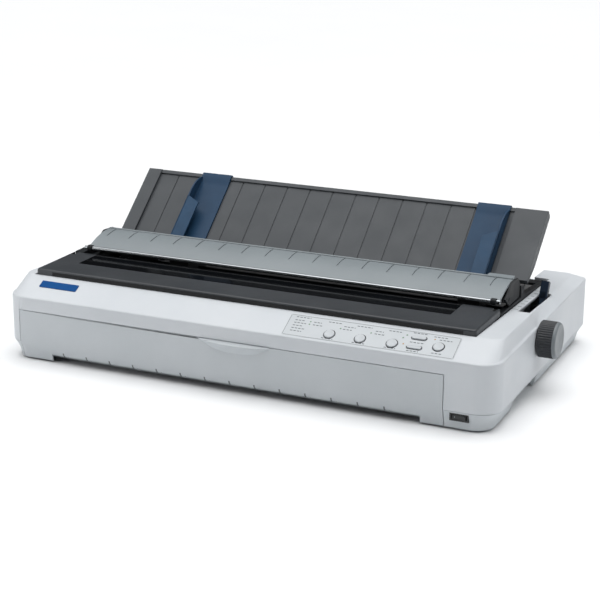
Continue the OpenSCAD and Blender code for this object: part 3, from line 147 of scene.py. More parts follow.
@dataclass(frozen=True)
class Finish:
    """A surface: what it is made of and how it was made.

    Each finish mottles its colour between two tints, varies its roughness a little and
    lifts a grain, all in object space, so the pattern stays put when a piece moves.
    Names that end in mm are real sizes of the pattern; stretch packs it closer along an
    axis, as turning and grinding marks are.
    """

    name: str
    colour: str
    tint: str
    roughness: float
    roughness_spread: float = 0.06
    ior: float = 1.5
    metallic: float = 0.0
    mottle_mm: float = 70.0
    grain_mm: float = 1.3
    grain_depth_mm: float = 0.03
    stretch: Triple = (1.0, 1.0, 1.0)
    coat: float = 0.0
    coat_roughness: float = 0.1
    transmission: float = 0.0
    specular: float = 0.5
    speckle: str = ""
    speckle_mm: float = 9.0
    speckle_share: float = 0.5
    round_mm: float = 0.5

    def material(self) -> bpy.types.Material:
        """Builds the material, or hands back the one already built.

        Returns:
            The material with its node tree.
        """
        found = bpy.data.materials.get(self.name)
        if found:
            return found
        made = bpy.data.materials.new(self.name)
        made.use_nodes = True
        made.diffuse_color = linear(self.colour)
        tree = made.node_tree
        tree.nodes.clear()
        out = add_node(tree, "ShaderNodeOutputMaterial")
        place = add_node(tree, "ShaderNodeTexCoord").outputs["Object"]
        drawn = add_node(tree, "ShaderNodeMapping", {"Scale": self.stretch}, {"Vector": place}).outputs["Vector"]
        settings: dict[str, Any] = {"IOR": self.ior, "Metallic": self.metallic, "Coat Weight": self.coat,
                                    "Coat Roughness": self.coat_roughness,
                                    "Transmission Weight": self.transmission,
                                    "Specular IOR Level": self.specular}
        shader = add_node(tree, "ShaderNodeBsdfPrincipled", settings,
                          {"Base Color": self.colour_pattern(tree, place), "Roughness": self.sheen(tree, drawn),
                           "Normal": self.relief(tree, drawn)})
        tree.links.new(shader.outputs["BSDF"], out.inputs["Surface"])
        return made

    def colour_pattern(self, tree: bpy.types.NodeTree, place: bpy.types.NodeSocket) -> bpy.types.NodeSocket:
        """Mottles the colour between the two tints.

        Args:
            tree: the material's nodes.
            place: object coordinates.

        Returns:
            The colour socket.
        """
        cloud = add_node(tree, "ShaderNodeTexNoise", {"Scale": per_metre(self.mottle_mm), "Detail": 5.0,
                                                      "Roughness": 0.62}, {"Vector": place})
        spread = add_node(tree, "ShaderNodeMapRange", {"From Min": 0.3, "From Max": 0.7},
                          {"Value": cloud.outputs["Fac"]})
        mixed = add_node(tree, "ShaderNodeMix", {"data_type": "RGBA"}, {"Factor": spread.outputs["Result"]})
        mixed.inputs[6].default_value = linear(self.colour)
        mixed.inputs[7].default_value = linear(self.tint)
        if not self.speckle:
            return mixed.outputs[2]
        cells = add_node(tree, "ShaderNodeTexVoronoi", {"Scale": per_metre(self.speckle_mm)}, {"Vector": place})
        chosen = add_node(tree, "ShaderNodeMath", {"operation": "LESS_THAN"}, {"Value": cells.outputs["Distance"]})
        chosen.inputs[1].default_value = self.speckle_share
        marked = add_node(tree, "ShaderNodeMix", {"data_type": "RGBA"}, {"Factor": chosen.outputs["Value"]})
        tree.links.new(mixed.outputs[2], marked.inputs[6])
        marked.inputs[7].default_value = linear(self.speckle)
        return marked.outputs[2]

    def sheen(self, tree: bpy.types.NodeTree, place: bpy.types.NodeSocket) -> bpy.types.NodeSocket:
        """Varies the roughness round its middle value.

        Args:
            tree: the material's nodes.
            place: coordinates drawn out along the surface's own direction.

        Returns:
            The roughness socket.
        """
        rub = add_node(tree, "ShaderNodeTexNoise", {"Scale": per_metre(self.mottle_mm / 3.0), "Detail": 4.0},
                       {"Vector": place})
        ranged = add_node(tree, "ShaderNodeMapRange",
                          {"From Min": 0.25, "From Max": 0.75,
                           "To Min": max(0.02, self.roughness - self.roughness_spread),
                           "To Max": min(1.0, self.roughness + self.roughness_spread)},
                          {"Value": rub.outputs["Fac"]})
        return ranged.outputs["Result"]

    def relief(self, tree: bpy.types.NodeTree, place: bpy.types.NodeSocket) -> bpy.types.NodeSocket:
        """Lifts the grain over edges that are rounded by the tool's own radius.

        Args:
            tree: the material's nodes.
            place: coordinates drawn out along the surface's own direction.

        Returns:
            The normal socket.
        """
        grain = add_node(tree, "ShaderNodeTexNoise", {"Scale": per_metre(self.grain_mm), "Detail": 3.0,
                                                      "Roughness": 0.6}, {"Vector": place})
        eased = add_node(tree, "ShaderNodeBevel", {"samples": 4, "Radius": self.round_mm * MM})
        lifted = add_node(tree, "ShaderNodeBump", {"Distance": self.grain_depth_mm * MM, "Strength": 0.6},
                          {"Height": grain.outputs["Fac"], "Normal": eased.outputs["Normal"]})
        return lifted.outputs["Normal"]


# Moulding grain, grinding marks and print edges are really 0.02 to 0.2 mm wide. Every grain_mm below
# draws them near 1 mm, as coarse as they need to be to show.

# ABS, injection moulded in a spark-eroded tool: an even, cool grey with a soft, broad gleam.
CASE_ABS = Finish("abs_moulded_cool_grey", "#D0D4D8", "#C7CCD1", 0.46, ior=1.54, grain_mm=1.1,
                  grain_depth_mm=0.035, mottle_mm=120, round_mm=1.6)
# The same ABS on the lower half: near the top's tone, a little darker.
BASE_ABS = Finish("abs_moulded_base_grey", "#CACFD3", "#C2C8CC", 0.48, ior=1.54, grain_mm=1.1,
                  grain_depth_mm=0.035, mottle_mm=120)
# The same ABS on the door, painted a shade deeper: painted shade for the dim light on the front face.
DOOR_ABS_PAINTED_SHADE = Finish("abs_door_grey_painted_shade", "#C4C9CD", "#BCC2C6", 0.48, ior=1.54, grain_mm=1.1,
                  grain_depth_mm=0.035, mottle_mm=120)
# Smoke grey ABS, satin moulded: dark, with a wide grey gleam towards a light.
COVER_ABS = Finish("abs_moulded_smoke", "#363A3E", "#303337", 0.42, ior=1.54, grain_mm=0.9,
                   grain_depth_mm=0.02, mottle_mm=90)
# Acrylic, dyed smoke and moulded in a polished tool: near black, with sharp reflections.
WINDOW_ACRYLIC = Finish("acrylic_dyed_smoke", "#0A0B0D", "#0E1013", 0.08, 0.02, ior=1.49, grain_mm=6.0,
                        grain_depth_mm=0.004, specular=0.03, round_mm=0.3)
# Polycarbonate blend in piano black: the cover's front strip, glossy with faint orange peel; the same black paints the
# shade behind the window.
STRIP_BLACK = Finish("polycarbonate_gloss_black", "#0C0D0F", "#121416", 0.2, 0.04, ior=1.58, grain_mm=5.0,
                     grain_depth_mm=0.01, specular=0.2)
# ABS with metal flake, moulded: satin silver grey.
PANEL_ABS = Finish("abs_moulded_silver_grey", "#858D91", "#7D8589", 0.4, ior=1.54, grain_mm=0.9,
                   grain_depth_mm=0.02, mottle_mm=100)
# Dark grey ABS, moulded: the frames round the openings; the same charcoal paints the shadow in the rings round the
# keys.
FRAME_ABS = Finish("abs_moulded_charcoal", "#1F2225", "#1A1C1F", 0.5, ior=1.54, specular=0.25)
# Dark grey polystyrene blend, moulded with a fine grain: the paper guide's face.
GUIDE_ABS = Finish("styrene_moulded_dark_grey", "#474B4F", "#404448", 0.52, ior=1.57, specular=0.35, grain_mm=1.2,
                   grain_depth_mm=0.04, mottle_mm=80)
# Acetal dyed blue, moulded: slippery satin with a soft bloom.
BLUE_ACETAL = Finish("acetal_moulded_slate_blue", "#234360", "#1D3A55", 0.42, ior=1.48, specular=0.22, grain_mm=1.0,
                     grain_depth_mm=0.015, mottle_mm=60)
# The same acetal on the folded flap, in a lighter blue: painted light, standing in for the brighter light on the flap.
BLUE_PAINTED_LIGHT = Finish("acetal_blue_painted_light", "#254765", "#1F3F5B", 0.42, ior=1.48, specular=0.22, mottle_mm=25,
                   grain_mm=0.9, grain_depth_mm=0.01)
# The same acetal in a deeper blue, worn satin by fingers: the release lever.
LEVER_ACETAL = Finish("acetal_moulded_deep_blue", "#14263A", "#102031", 0.38, ior=1.48, specular=0.22, grain_mm=1.0,
                      grain_depth_mm=0.015, mottle_mm=40)
# Grip of the knob: charcoal ABS with fine knurling, matt in the hollows.
GRIP_ABS = Finish("abs_knurled_charcoal", "#292C31", "#222529", 0.55, ior=1.54, grain_mm=0.9,
                  grain_depth_mm=0.05, mottle_mm=25)
# Mid grey ABS, moulded smooth: the knob's dished face, which takes a soft round gleam.
KNOB_ABS = Finish("abs_moulded_mid_grey", "#767C80", "#6E7478", 0.42, ior=1.54, mottle_mm=30)
# Key caps: the case's ABS, paler, slightly polished by fingers.
KEY_ABS = Finish("abs_moulded_key_grey", "#C0C5C9", "#B9BEC2", 0.36, ior=1.54, grain_mm=0.8,
                 grain_depth_mm=0.015, mottle_mm=20)
# Glass filled nylon, moulded: the switch, inlet and plugs, black with a slight gloss.
NYLON_BLACK = Finish("nylon_moulded_black", "#1B1D1F", "#232527", 0.32, ior=1.53, grain_mm=0.8,
                     grain_depth_mm=0.02, mottle_mm=20)
# Polyester film under the panel's print: flat pale grey with a faint, even sheen.
LABEL_FIELD = Finish("polyester_label_pale", "#BFC4C8", "#B8BEC2", 0.36, ior=1.6, grain_mm=2.0,
                     grain_depth_mm=0.006, mottle_mm=50, round_mm=0.1)
# Screen ink, printed and stoved: flat dark grey marks without gloss.
LABEL_INK = Finish("screen_ink_grey", "#4E5458", "#5D6368", 0.5, ior=1.5, grain_mm=0.8, grain_depth_mm=0.01,
                   mottle_mm=8, round_mm=0.1)
# Acrylic lamp windows, moulded: small glossy dots, tinted by the green or amber diode that is off behind them.
LAMP_GREEN = Finish("acrylic_lamp_green", "#7E9A84", "#8AA890", 0.18, 0.03, ior=1.49, mottle_mm=3,
                    grain_depth_mm=0.004, round_mm=0.2)
LAMP_AMBER = Finish("acrylic_lamp_amber", "#B49468", "#C0A074", 0.18, 0.03, ior=1.49, mottle_mm=3,
                    grain_depth_mm=0.004, round_mm=0.2)
# Badge plate: aluminium foil printed blue under clear lacquer.
BADGE_BLUE = Finish("foil_lacquered_blue", "#0A4684", "#0E4C88", 0.36, 0.04, ior=1.5, specular=0.06, mottle_mm=12,
                    grain_mm=1.5, grain_depth_mm=0.01, round_mm=0.2)
# Bright steel, centreless ground: fine rings round the bar and crisp highlights.
STEEL_GROUND = Finish("steel_ground_bright", "#A6AAAD", "#989C9F", 0.16, 0.04, metallic=1.0, mottle_mm=30,
                      grain_mm=1.0, grain_depth_mm=0.006, stretch=(9.0, 1.0, 1.0))
# Sheet steel, zinc plated and passivated: cool grey with a cloudy bloom.
STEEL_ZINC = Finish("steel_zinc_plated", "#A9AEB1", "#969CA0", 0.38, 0.09, metallic=1.0, mottle_mm=22,
                    grain_mm=1.6, grain_depth_mm=0.01)
# Steel rod, turned and black oxided: nearly black, oily sheen.
STEEL_BLACKED = Finish("steel_black_oxide", "#2C2D2F", "#242527", 0.34, 0.06, metallic=1.0, grain_mm=0.6,
                       grain_depth_mm=0.006, stretch=(9.0, 1.0, 1.0))
# Motor cans: deep drawn steel, nickel plated, darker.
STEEL_NICKEL = Finish("steel_nickel_plated", "#8E9190", "#7F8281", 0.3, 0.06, metallic=1.0, mottle_mm=18,
                      grain_mm=1.2, grain_depth_mm=0.008, stretch=(6.0, 1.0, 1.0))
# Brass, turned: warm yellow with turning marks round the axis.
BRASS_TURNED = Finish("brass_turned", "#C7A75A", "#B8964A", 0.27, 0.06, metallic=1.0, mottle_mm=9,
                      grain_mm=0.8, grain_depth_mm=0.008, stretch=(1.0, 1.0, 5.0))
# Die cast aluminium, bead blasted: pale grey and finely pitted.
ALUMINIUM_CAST = Finish("aluminium_die_cast", "#9FA3A6", "#8F9396", 0.5, 0.08, metallic=1.0, mottle_mm=10,
                        grain_mm=0.9, grain_depth_mm=0.03)
# Nitrile rubber, ground to size: dead matt black with a grey bloom.
RUBBER_GROUND = Finish("nitrile_rubber_ground", "#1C1D1E", "#262728", 0.82, 0.08, ior=1.52, mottle_mm=14,
                       grain_mm=0.8, grain_depth_mm=0.03, specular=0.35)
# The same rubber, moulded: a little paler and less matt, for the feet.
RUBBER_FOOT = Finish("nitrile_rubber_moulded", "#2B2C2E", "#343537", 0.75, 0.08, ior=1.52, mottle_mm=9,
                     grain_mm=0.9, grain_depth_mm=0.03, specular=0.35)
# Polyurethane timing belt: black, slightly oily.
BELT_URETHANE = Finish("polyurethane_belt_black", "#191A1B", "#232425", 0.55, 0.08, ior=1.5, mottle_mm=8,
                       grain_mm=1.0, grain_depth_mm=0.03)
# Natural acetal, moulded: milky ivory gears with a waxy gleam.
GEAR_ACETAL = Finish("acetal_natural_ivory", "#DEDACD", "#D3CEBF", 0.36, ior=1.48, mottle_mm=9,
                     grain_mm=0.9, grain_depth_mm=0.015)
# Acetal with carbon black, for the feed train: dark, with a faint gleam on the tooth flanks.
GEAR_BLACK = Finish("acetal_moulded_black", "#1B1C1E", "#151618", 0.38, ior=1.48, specular=0.3, mottle_mm=9,
                    grain_mm=0.9, grain_depth_mm=0.015)
# High impact styrene, moulded black: the paper chute, tractors and ribbon cassette.
STYRENE_BLACK = Finish("styrene_moulded_black", "#26282A", "#1F2123", 0.44, ior=1.59, mottle_mm=30,
                       grain_mm=1.1, grain_depth_mm=0.03)
# Glass epoxy board under green solder mask, with paler tracks and pads.
BOARD_EPOXY = Finish("epoxy_board_green_mask", "#1E5B3A", "#1A4F33", 0.28, ior=1.55, mottle_mm=25,
                     speckle="#4E8A5E", speckle_mm=5.0, speckle_share=0.22, grain_mm=1.5, grain_depth_mm=0.02)
# Printed scale and legend marks on the deck.
MARK_INK = Finish("pad_ink_mid_grey", "#8A9095", "#979DA2", 0.5, mottle_mm=6, grain_depth_mm=0.008, round_mm=0.1)
# Seamless paper sweep for the studio floor: white, without gloss.
PAPER_SWEEP = Finish("paper_sweep_white", "#F4F5F6", "#F1F2F3", 0.9, 0.03, ior=1.45, mottle_mm=900,
                     grain_mm=4.0, grain_depth_mm=0.02, specular=0.1, round_mm=0.1)


# ---------------------------------------------------------------------------
# Mesh making
# ---------------------------------------------------------------------------


def arc(cx: float, cy: float, radius: float, start: float, end: float, steps: int) -> Outline:
    """Points on a circular arc, in degrees from start to end.

    Args:
        cx: centre's first coordinate.
        cy: centre's second coordinate.
        radius: radius of the arc.
        start: first angle.
        end: last angle.
        steps: number of chords.

    Returns:
        The points, both ends included.
    """
    turns = (math.radians(start + (end - start) * i / steps) for i in range(steps + 1))
    return [(cx + radius * math.cos(t), cy + radius * math.sin(t)) for t in turns]


def rounded(width: float, depth: float, radius: float, cx: float = 0.0, cy: float = 0.0,
            steps: int = 6) -> Outline:
    """Outline of a rectangle with rounded corners, round a middle point.

    Args:
        width: size along the first coordinate.
        depth: size along the second.
        radius: corner radius.
        cx: middle's first coordinate.
        cy: middle's second coordinate.
        steps: chords in each corner.

    Returns:
        The closed outline.
    """
    x, y = width / 2 - radius, depth / 2 - radius
    corners = ((x, y, 0), (-x, y, 90), (-x, -y, 180), (x, -y, 270))
    return [p for (px, py, turn) in corners for p in arc(cx + px, cy + py, radius, turn, turn + 90, steps)]


def between(x: Pair, y: Pair, radius: float, grow: float = 0.0) -> Outline:
    """Outline of a rectangle with rounded corners, between two ends each way.

    Args:
        x: its ends along the first coordinate.
        y: its ends along the second.
        radius: corner radius.
        grow: how far every side is moved out.

    Returns:
        The closed outline.
    """
    return rounded(x[1] - x[0] + 2 * grow, y[1] - y[0] + 2 * grow, radius, sum(x) / 2, sum(y) / 2)


def level(outline: Outline, z: float) -> list[Triple]:
    """Lays an outline flat at a height."""
    return [(a, b, z) for a, b in outline]


class Shape:
    """A mesh in the making, in millimetres in the case's frame."""

    NODE_WELD, NODE_FLAT = 0.004, math.radians(0.6)
    CUT_WELD, CUT_FLAT = 0.002, math.radians(0.5)
    SLIVER = 0.001
    FOLDED_SHARE = 0.03

    def __init__(self) -> None:
        """Starts with nothing in it."""
        self.mesh = bmesh.new()

    @classmethod
    def of_node(cls, node: str) -> "Shape":
        """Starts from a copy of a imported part's surface.

        Args:
            node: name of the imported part.

        Returns:
            The copy, welded, with flat faces joined up.
        """
        made = cls()
        source = bpy.data.objects[node]
        made.mesh.from_mesh(source.data)
        bmesh.ops.transform(made.mesh, matrix=Matrix.Scale(1 / MM, 4), verts=made.mesh.verts)
        bmesh.ops.translate(made.mesh, vec=-Vector(CASE_TO_ROW), verts=made.mesh.verts)
        return made.welded(cls.NODE_WELD, cls.NODE_FLAT)

    def welded(self, weld: float, flat: float) -> "Shape":
        """Welds points that lie together and joins up faces that lie in one plane.

        Args:
            weld: greatest distance between points that become one.
            flat: greatest angle, in radians, between faces that become one.

        Returns:
            This shape.
        """
        bmesh.ops.remove_doubles(self.mesh, verts=self.mesh.verts, dist=weld)
        bmesh.ops.dissolve_limit(self.mesh, angle_limit=flat, verts=self.mesh.verts, edges=self.mesh.edges)
        return self

    def loft(self, rings: Sequence[Sequence[Point]], closed: bool = True, place: Matrix | None = None) -> "Shape":
        """Skins a stack of rings that have the same number of points.

        Args:
            rings: the rings, in order.
            closed: whether the first and last ring are filled.
            place: moves the result from a local frame to the case's.

        Returns:
            This shape.
        """
        place = place or Matrix.Identity(4)
        rows = [[self.mesh.verts.new(place @ Vector(p)) for p in ring] for ring in rings]
        count = len(rows[0])
        faces = []
        for low, high in zip(rows, rows[1:]):
            faces += [self.mesh.faces.new((low[i], low[(i + 1) % count], high[(i + 1) % count], high[i]))
                      for i in range(count)]
        if closed:
            faces += [self.mesh.faces.new(list(reversed(rows[0]))), self.mesh.faces.new(rows[-1])]
        bmesh.ops.recalc_face_normals(self.mesh, faces=faces)
        return self

    def drawn(self, axis: Axis, outline: Outline, start: float, end: float, place: Matrix | None = None) -> "Shape":
        """Draws an outline out along an axis.

        Args:
            axis: direction of the draw; the outline lies in the other two, in x, y, z order.
            outline: closed outline.
            start: where the draw starts.
            end: where it ends.
            place: moves the result from a local frame to the case's.

        Returns:
            This shape.
        """
        order = {Axis.X: lambda a, b, t: (t, a, b), Axis.Y: lambda a, b, t: (a, t, b),
                 Axis.Z: lambda a, b, t: (a, b, t)}[axis]
        return self.loft([[order(a, b, t) for a, b in outline] for t in (start, end)], place=place)

    def block(self, x: Pair, y: Pair, z: Pair, place: Matrix | None = None) -> "Shape":
        """Adds a straight-sided body between two corners.

        Args:
            x: its two ends along x.
            y: its two ends along y.
            z: its two ends along z.
            place: moves the result from a local frame to the case's.

        Returns:
            This shape.
        """
        return self.drawn(Axis.Z, [(x[0], y[0]), (x[1], y[0]), (x[1], y[1]), (x[0], y[1])], z[0], z[1], place)

    def turned(self, axis: Axis, profile: Sequence[Pair], middle: Point, steps: int = 48,
               place: Matrix | None = None) -> "Shape":
        """Turns a profile on a lathe.

        Args:
            axis: lathe axis.
            profile: (distance along the axis, radius) pairs from one end to the other.
            middle: a point on the axis.
            steps: flats round the turn.
            place: moves the result from a local frame to the case's.

        Returns:
            This shape.
        """
        rings = []
        for along, radius in profile:
            ring = []
            for a, b in arc(0, 0, radius, 0, 360, steps)[:-1]:
                point = {Axis.X: (along, a, b), Axis.Y: (b, along, a), Axis.Z: (a, b, along)}[axis]
                ring.append(tuple(p + m for p, m in zip(point, middle)))
            rings.append(ring)
        return self.loft(rings, place=place)

    def rod(self, axis: Axis, start: float, end: float, middle: Point, radius: float, chamfer: float = 0.4,
            steps: int = 40, place: Matrix | None = None) -> "Shape":
        """Adds a round rod with broken edges.

        Args:
            axis: direction of the rod.
            start: where it starts along the axis.
            end: where it ends.
            middle: a point on its axis.
            radius: its radius.
            chamfer: size of the broken edge.
            steps: flats round it.
            place: moves the result from a local frame to the case's.

        Returns:
            This shape.
        """
        profile = [(start, radius - chamfer), (start + chamfer, radius), (end - chamfer, radius),
                   (end, radius - chamfer)]
        return self.turned(axis, profile, middle, steps, place)

    def solid(self, name: str) -> bpy.types.Object:
        """Makes a plain object in the case's frame for cutting.

        Args:
            name: name of the object.

        Returns:
            The object, linked to the scene.
        """
        data = bpy.data.meshes.new(name)
        self.mesh.to_mesh(data)
        made = bpy.data.objects.new(name, data)
        bpy.context.scene.collection.objects.link(made)
        return made

    def cut(self, *others: "Shape", keep: str = "DIFFERENCE") -> "Shape":
        """Cuts other shapes out of this one, joins them on or keeps the common part.

        Args:
            others: the other shapes, used up by this.
            keep: DIFFERENCE, UNION or INTERSECT.

        Returns:
            This shape.
        """
        for other in others:
            body, tool = self.solid("blank"), other.solid("cutter")
            change = body.modifiers.new("cut", "BOOLEAN")
            change.operation, change.object, change.solver = keep, tool, "EXACT"
            change.use_self = True
            done = bpy.data.meshes.new_from_object(body.evaluated_get(bpy.context.evaluated_depsgraph_get()))
            self.mesh.clear()
            self.mesh.from_mesh(done)
            for made in (body, tool):
                data = made.data
                bpy.data.objects.remove(made)
                bpy.data.meshes.remove(data)
            bpy.data.meshes.remove(done)
            other.mesh.free()
            self.welded(self.CUT_WELD, self.CUT_FLAT)
        return self

    def joined(self, *others: "Shape") -> "Shape":
        """Adds other shapes to this one, as they are.

        Args:
            others: the other shapes, used up by this.

        Returns:
            This shape.
        """
        for other in others:
            data = bpy.data.meshes.new("joined")
            other.mesh.to_mesh(data)
            other.mesh.free()
            self.mesh.from_mesh(data)
            bpy.data.meshes.remove(data)
        return self

    def broken(self, size: float, angle: float = 32.0, segments: int = 2, room: float = 2.2) -> "Shape":
        """Rounds the edges that have the room for it.

        Args:
            size: how far the rounding reaches from the edge.
            angle: least angle between the faces, in degrees.
            segments: facets of the rounding.
            room: least length of the neighbouring edges, in sizes.

        Returns:
            This shape.
        """
        least = math.radians(angle)
        before = self.mesh.copy()
        area = self.area()
        chosen = []
        for edge in self.mesh.edges:
            if len(edge.link_faces) != 2 or edge.calc_face_angle(0.0) < least:
                continue
            near = [e for v in edge.verts for e in v.link_edges]
            if min(e.calc_length() for e in near) >= room * size:
                chosen.append(edge)
        if chosen:
            bmesh.ops.bevel(self.mesh, geom=chosen, offset=size, segments=segments, profile=0.5,
                            affect="EDGES", clamp_overlap=False, miter_outer="SHARP", loop_slide=False)
        if abs(self.area() - area) > self.FOLDED_SHARE * area:
            LOG.info("edges left sharp: the rounding of %.2f mm folded over itself", size)
            self.mesh.free()
            self.mesh = before
        else:
            before.free()
        return self

    def area(self) -> float:
        """Adds up the mesh's surface, a fold counted twice.

        Returns:
            The area in square millimetres.
        """
        probe = self.mesh.copy()
        bmesh.ops.triangulate(probe, faces=probe.faces[:])
        total = sum(face.calc_area() for face in probe.faces)
        probe.free()
        return total

    def piece(self, name: str, finish: Finish, body: str, slot: str, stands_for: Iterable[str] = (),
              smooth: float = 34.0) -> bpy.types.Object:
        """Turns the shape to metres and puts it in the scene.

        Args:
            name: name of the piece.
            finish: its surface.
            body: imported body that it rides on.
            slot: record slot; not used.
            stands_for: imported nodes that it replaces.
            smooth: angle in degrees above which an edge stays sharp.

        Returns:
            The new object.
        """
        bmesh.ops.dissolve_degenerate(self.mesh, dist=self.SLIVER, edges=self.mesh.edges)
        bmesh.ops.translate(self.mesh, vec=Vector(CASE_TO_ROW), verts=self.mesh.verts)
        bmesh.ops.transform(self.mesh, matrix=Matrix.Scale(MM, 4), verts=self.mesh.verts)
        made = self.solid(name)
        self.mesh.free()
        made.data.name = name
        made.data.materials.append(finish.material())
        made.data.polygons.foreach_set("use_smooth", [True] * len(made.data.polygons))
        made.data.set_sharp_from_angle(angle=math.radians(smooth))
        evened = made.modifiers.new("evened", "WEIGHTED_NORMAL")
        evened.keep_sharp = True
        flat = bpy.data.meshes.new_from_object(made.evaluated_get(bpy.context.evaluated_depsgraph_get()))
        made.modifiers.clear()
        made.data = flat
        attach(made, body)
        for node in stands_for:
            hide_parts(node)
        LOG.info("piece %s: %d faces on %s", name, len(flat.polygons), body)
        return made


def soften(node: str, name: str, finish: Finish, body: str, slot: str, size: float, angle: float = 32.0,
           smooth: float = 34.0) -> None:
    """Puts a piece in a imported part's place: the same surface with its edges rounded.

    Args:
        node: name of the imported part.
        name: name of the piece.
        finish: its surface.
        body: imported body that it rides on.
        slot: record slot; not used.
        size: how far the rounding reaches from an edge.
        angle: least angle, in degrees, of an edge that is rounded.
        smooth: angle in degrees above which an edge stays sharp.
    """
    Shape.of_node(node).broken(size, angle).piece(name, finish, body, slot, [node], smooth)


def dress(node: str, finish: Finish) -> None:
    """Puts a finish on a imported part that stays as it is.

    Args:
        node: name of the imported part.
        finish: its surface.
    """
    target = bpy.data.objects[node]
    target.data.materials.clear()
    target.data.materials.append(finish.material())
    LOG.info("dressed %s in %s", node, finish.name)


# ---------------------------------------------------------------------------
# Sub-assemblies
# ---------------------------------------------------------------------------


@dataclass
class Bezel:
    """The sloping strip in front of the cover, where the panel and the badge sit."""

    foot_y: float = 2.6
    foot_z: float = 77.0
    top_y: float = 35.0
    top_z: float = 94.2

    def at(self, x: float, up: float, off: float = 0.0) -> Matrix:
        """Place on the strip whose local Z leaves it.

        Args:
            x: distance from the case's middle plane.
            up: distance up the slope.
            off: distance off the surface.

        Returns:
            The transform from the local frame to the case's.
        """
        slope = math.atan2(self.top_z - self.foot_z, self.top_y - self.foot_y)
        foot = Matrix.Translation((x, self.foot_y, self.foot_z))
        return foot @ Matrix.Rotation(slope, 4, "X") @ Matrix.Translation((0.0, up, off))


@dataclass
class CaseShell:
    """The two halves of the case, with what is printed on them and fixed to them."""

    body: str = "printer"
    bezel: Bezel = field(default_factory=Bezel)
    edge: float = 0.7
    foot_edge: float = 0.4
    badge_size: Pair = (48.8, 10.2)
    badge_corner: float = 0.9
    badge_place: Pair = (-236.0, 22.4)
    badge_up: Pair = (-0.4, 0.5)
    badge_edge: float = 0.15
    mark_count: int = 8
    mark_first_y: float = 158.0
    mark_pitch: float = 12.6
    mark_width: float = 1.1
    mark_right: float = 269.4
    mark_long: float = 7.0
    mark_short: float = 4.4
    mark_up: Pair = (-0.3, 0.06)
    deck_fall: float = 0.04

    def halves(self) -> None:
        """Makes the upper and lower halves with softened edges."""
        soften("upper_case", "case_top_shell", CASE_ABS, self.body, "case_plastic", self.edge, smooth=50)
        soften("lower_case", "case_base_shell", BASE_ABS, self.body, "case_plastic", self.edge)

    def badge(self) -> None:
        """Makes the bare blue badge plate at the left of the bezel."""
        outline = rounded(*self.badge_size, self.badge_corner)
        plate = Shape().drawn(Axis.Z, outline, *self.badge_up, self.bezel.at(*self.badge_place))
        plate.broken(self.badge_edge, segments=1).piece("badge_plate", BADGE_BLUE, self.body, "blue_plastic")

    def scale_marks(self) -> None:
        """Prints the lever's position marks beside its slot, down the gentle fall of the deck."""
        marks = Shape()
        half = self.mark_width / 2
        for step in range(self.mark_count):
            y = self.mark_first_y + step * self.mark_pitch
            z = self.bezel.top_z - self.deck_fall * (y - self.bezel.top_y)
            long = self.mark_long if step in (0, self.mark_count - 1) else self.mark_short
            marks.block((self.mark_right - long, self.mark_right), (y - half, y + half),
                        (z + self.mark_up[0], z + self.mark_up[1]))
        marks.piece("lever_scale_marks", LABEL_INK, self.body, "guide_plastic")

    def feet_and_screws(self) -> None:
        """Dresses the feet and the screws under the case."""
        soften("rubber_feet", "foot_pads", RUBBER_FOOT, self.body, "foot_rubber", self.foot_edge, angle=50)
        dress("case_screws", STEEL_ZINC)

    def build(self) -> None:
        """Builds the whole case."""
        self.halves()
        self.badge()
        self.scale_marks()
        self.feet_and_screws()


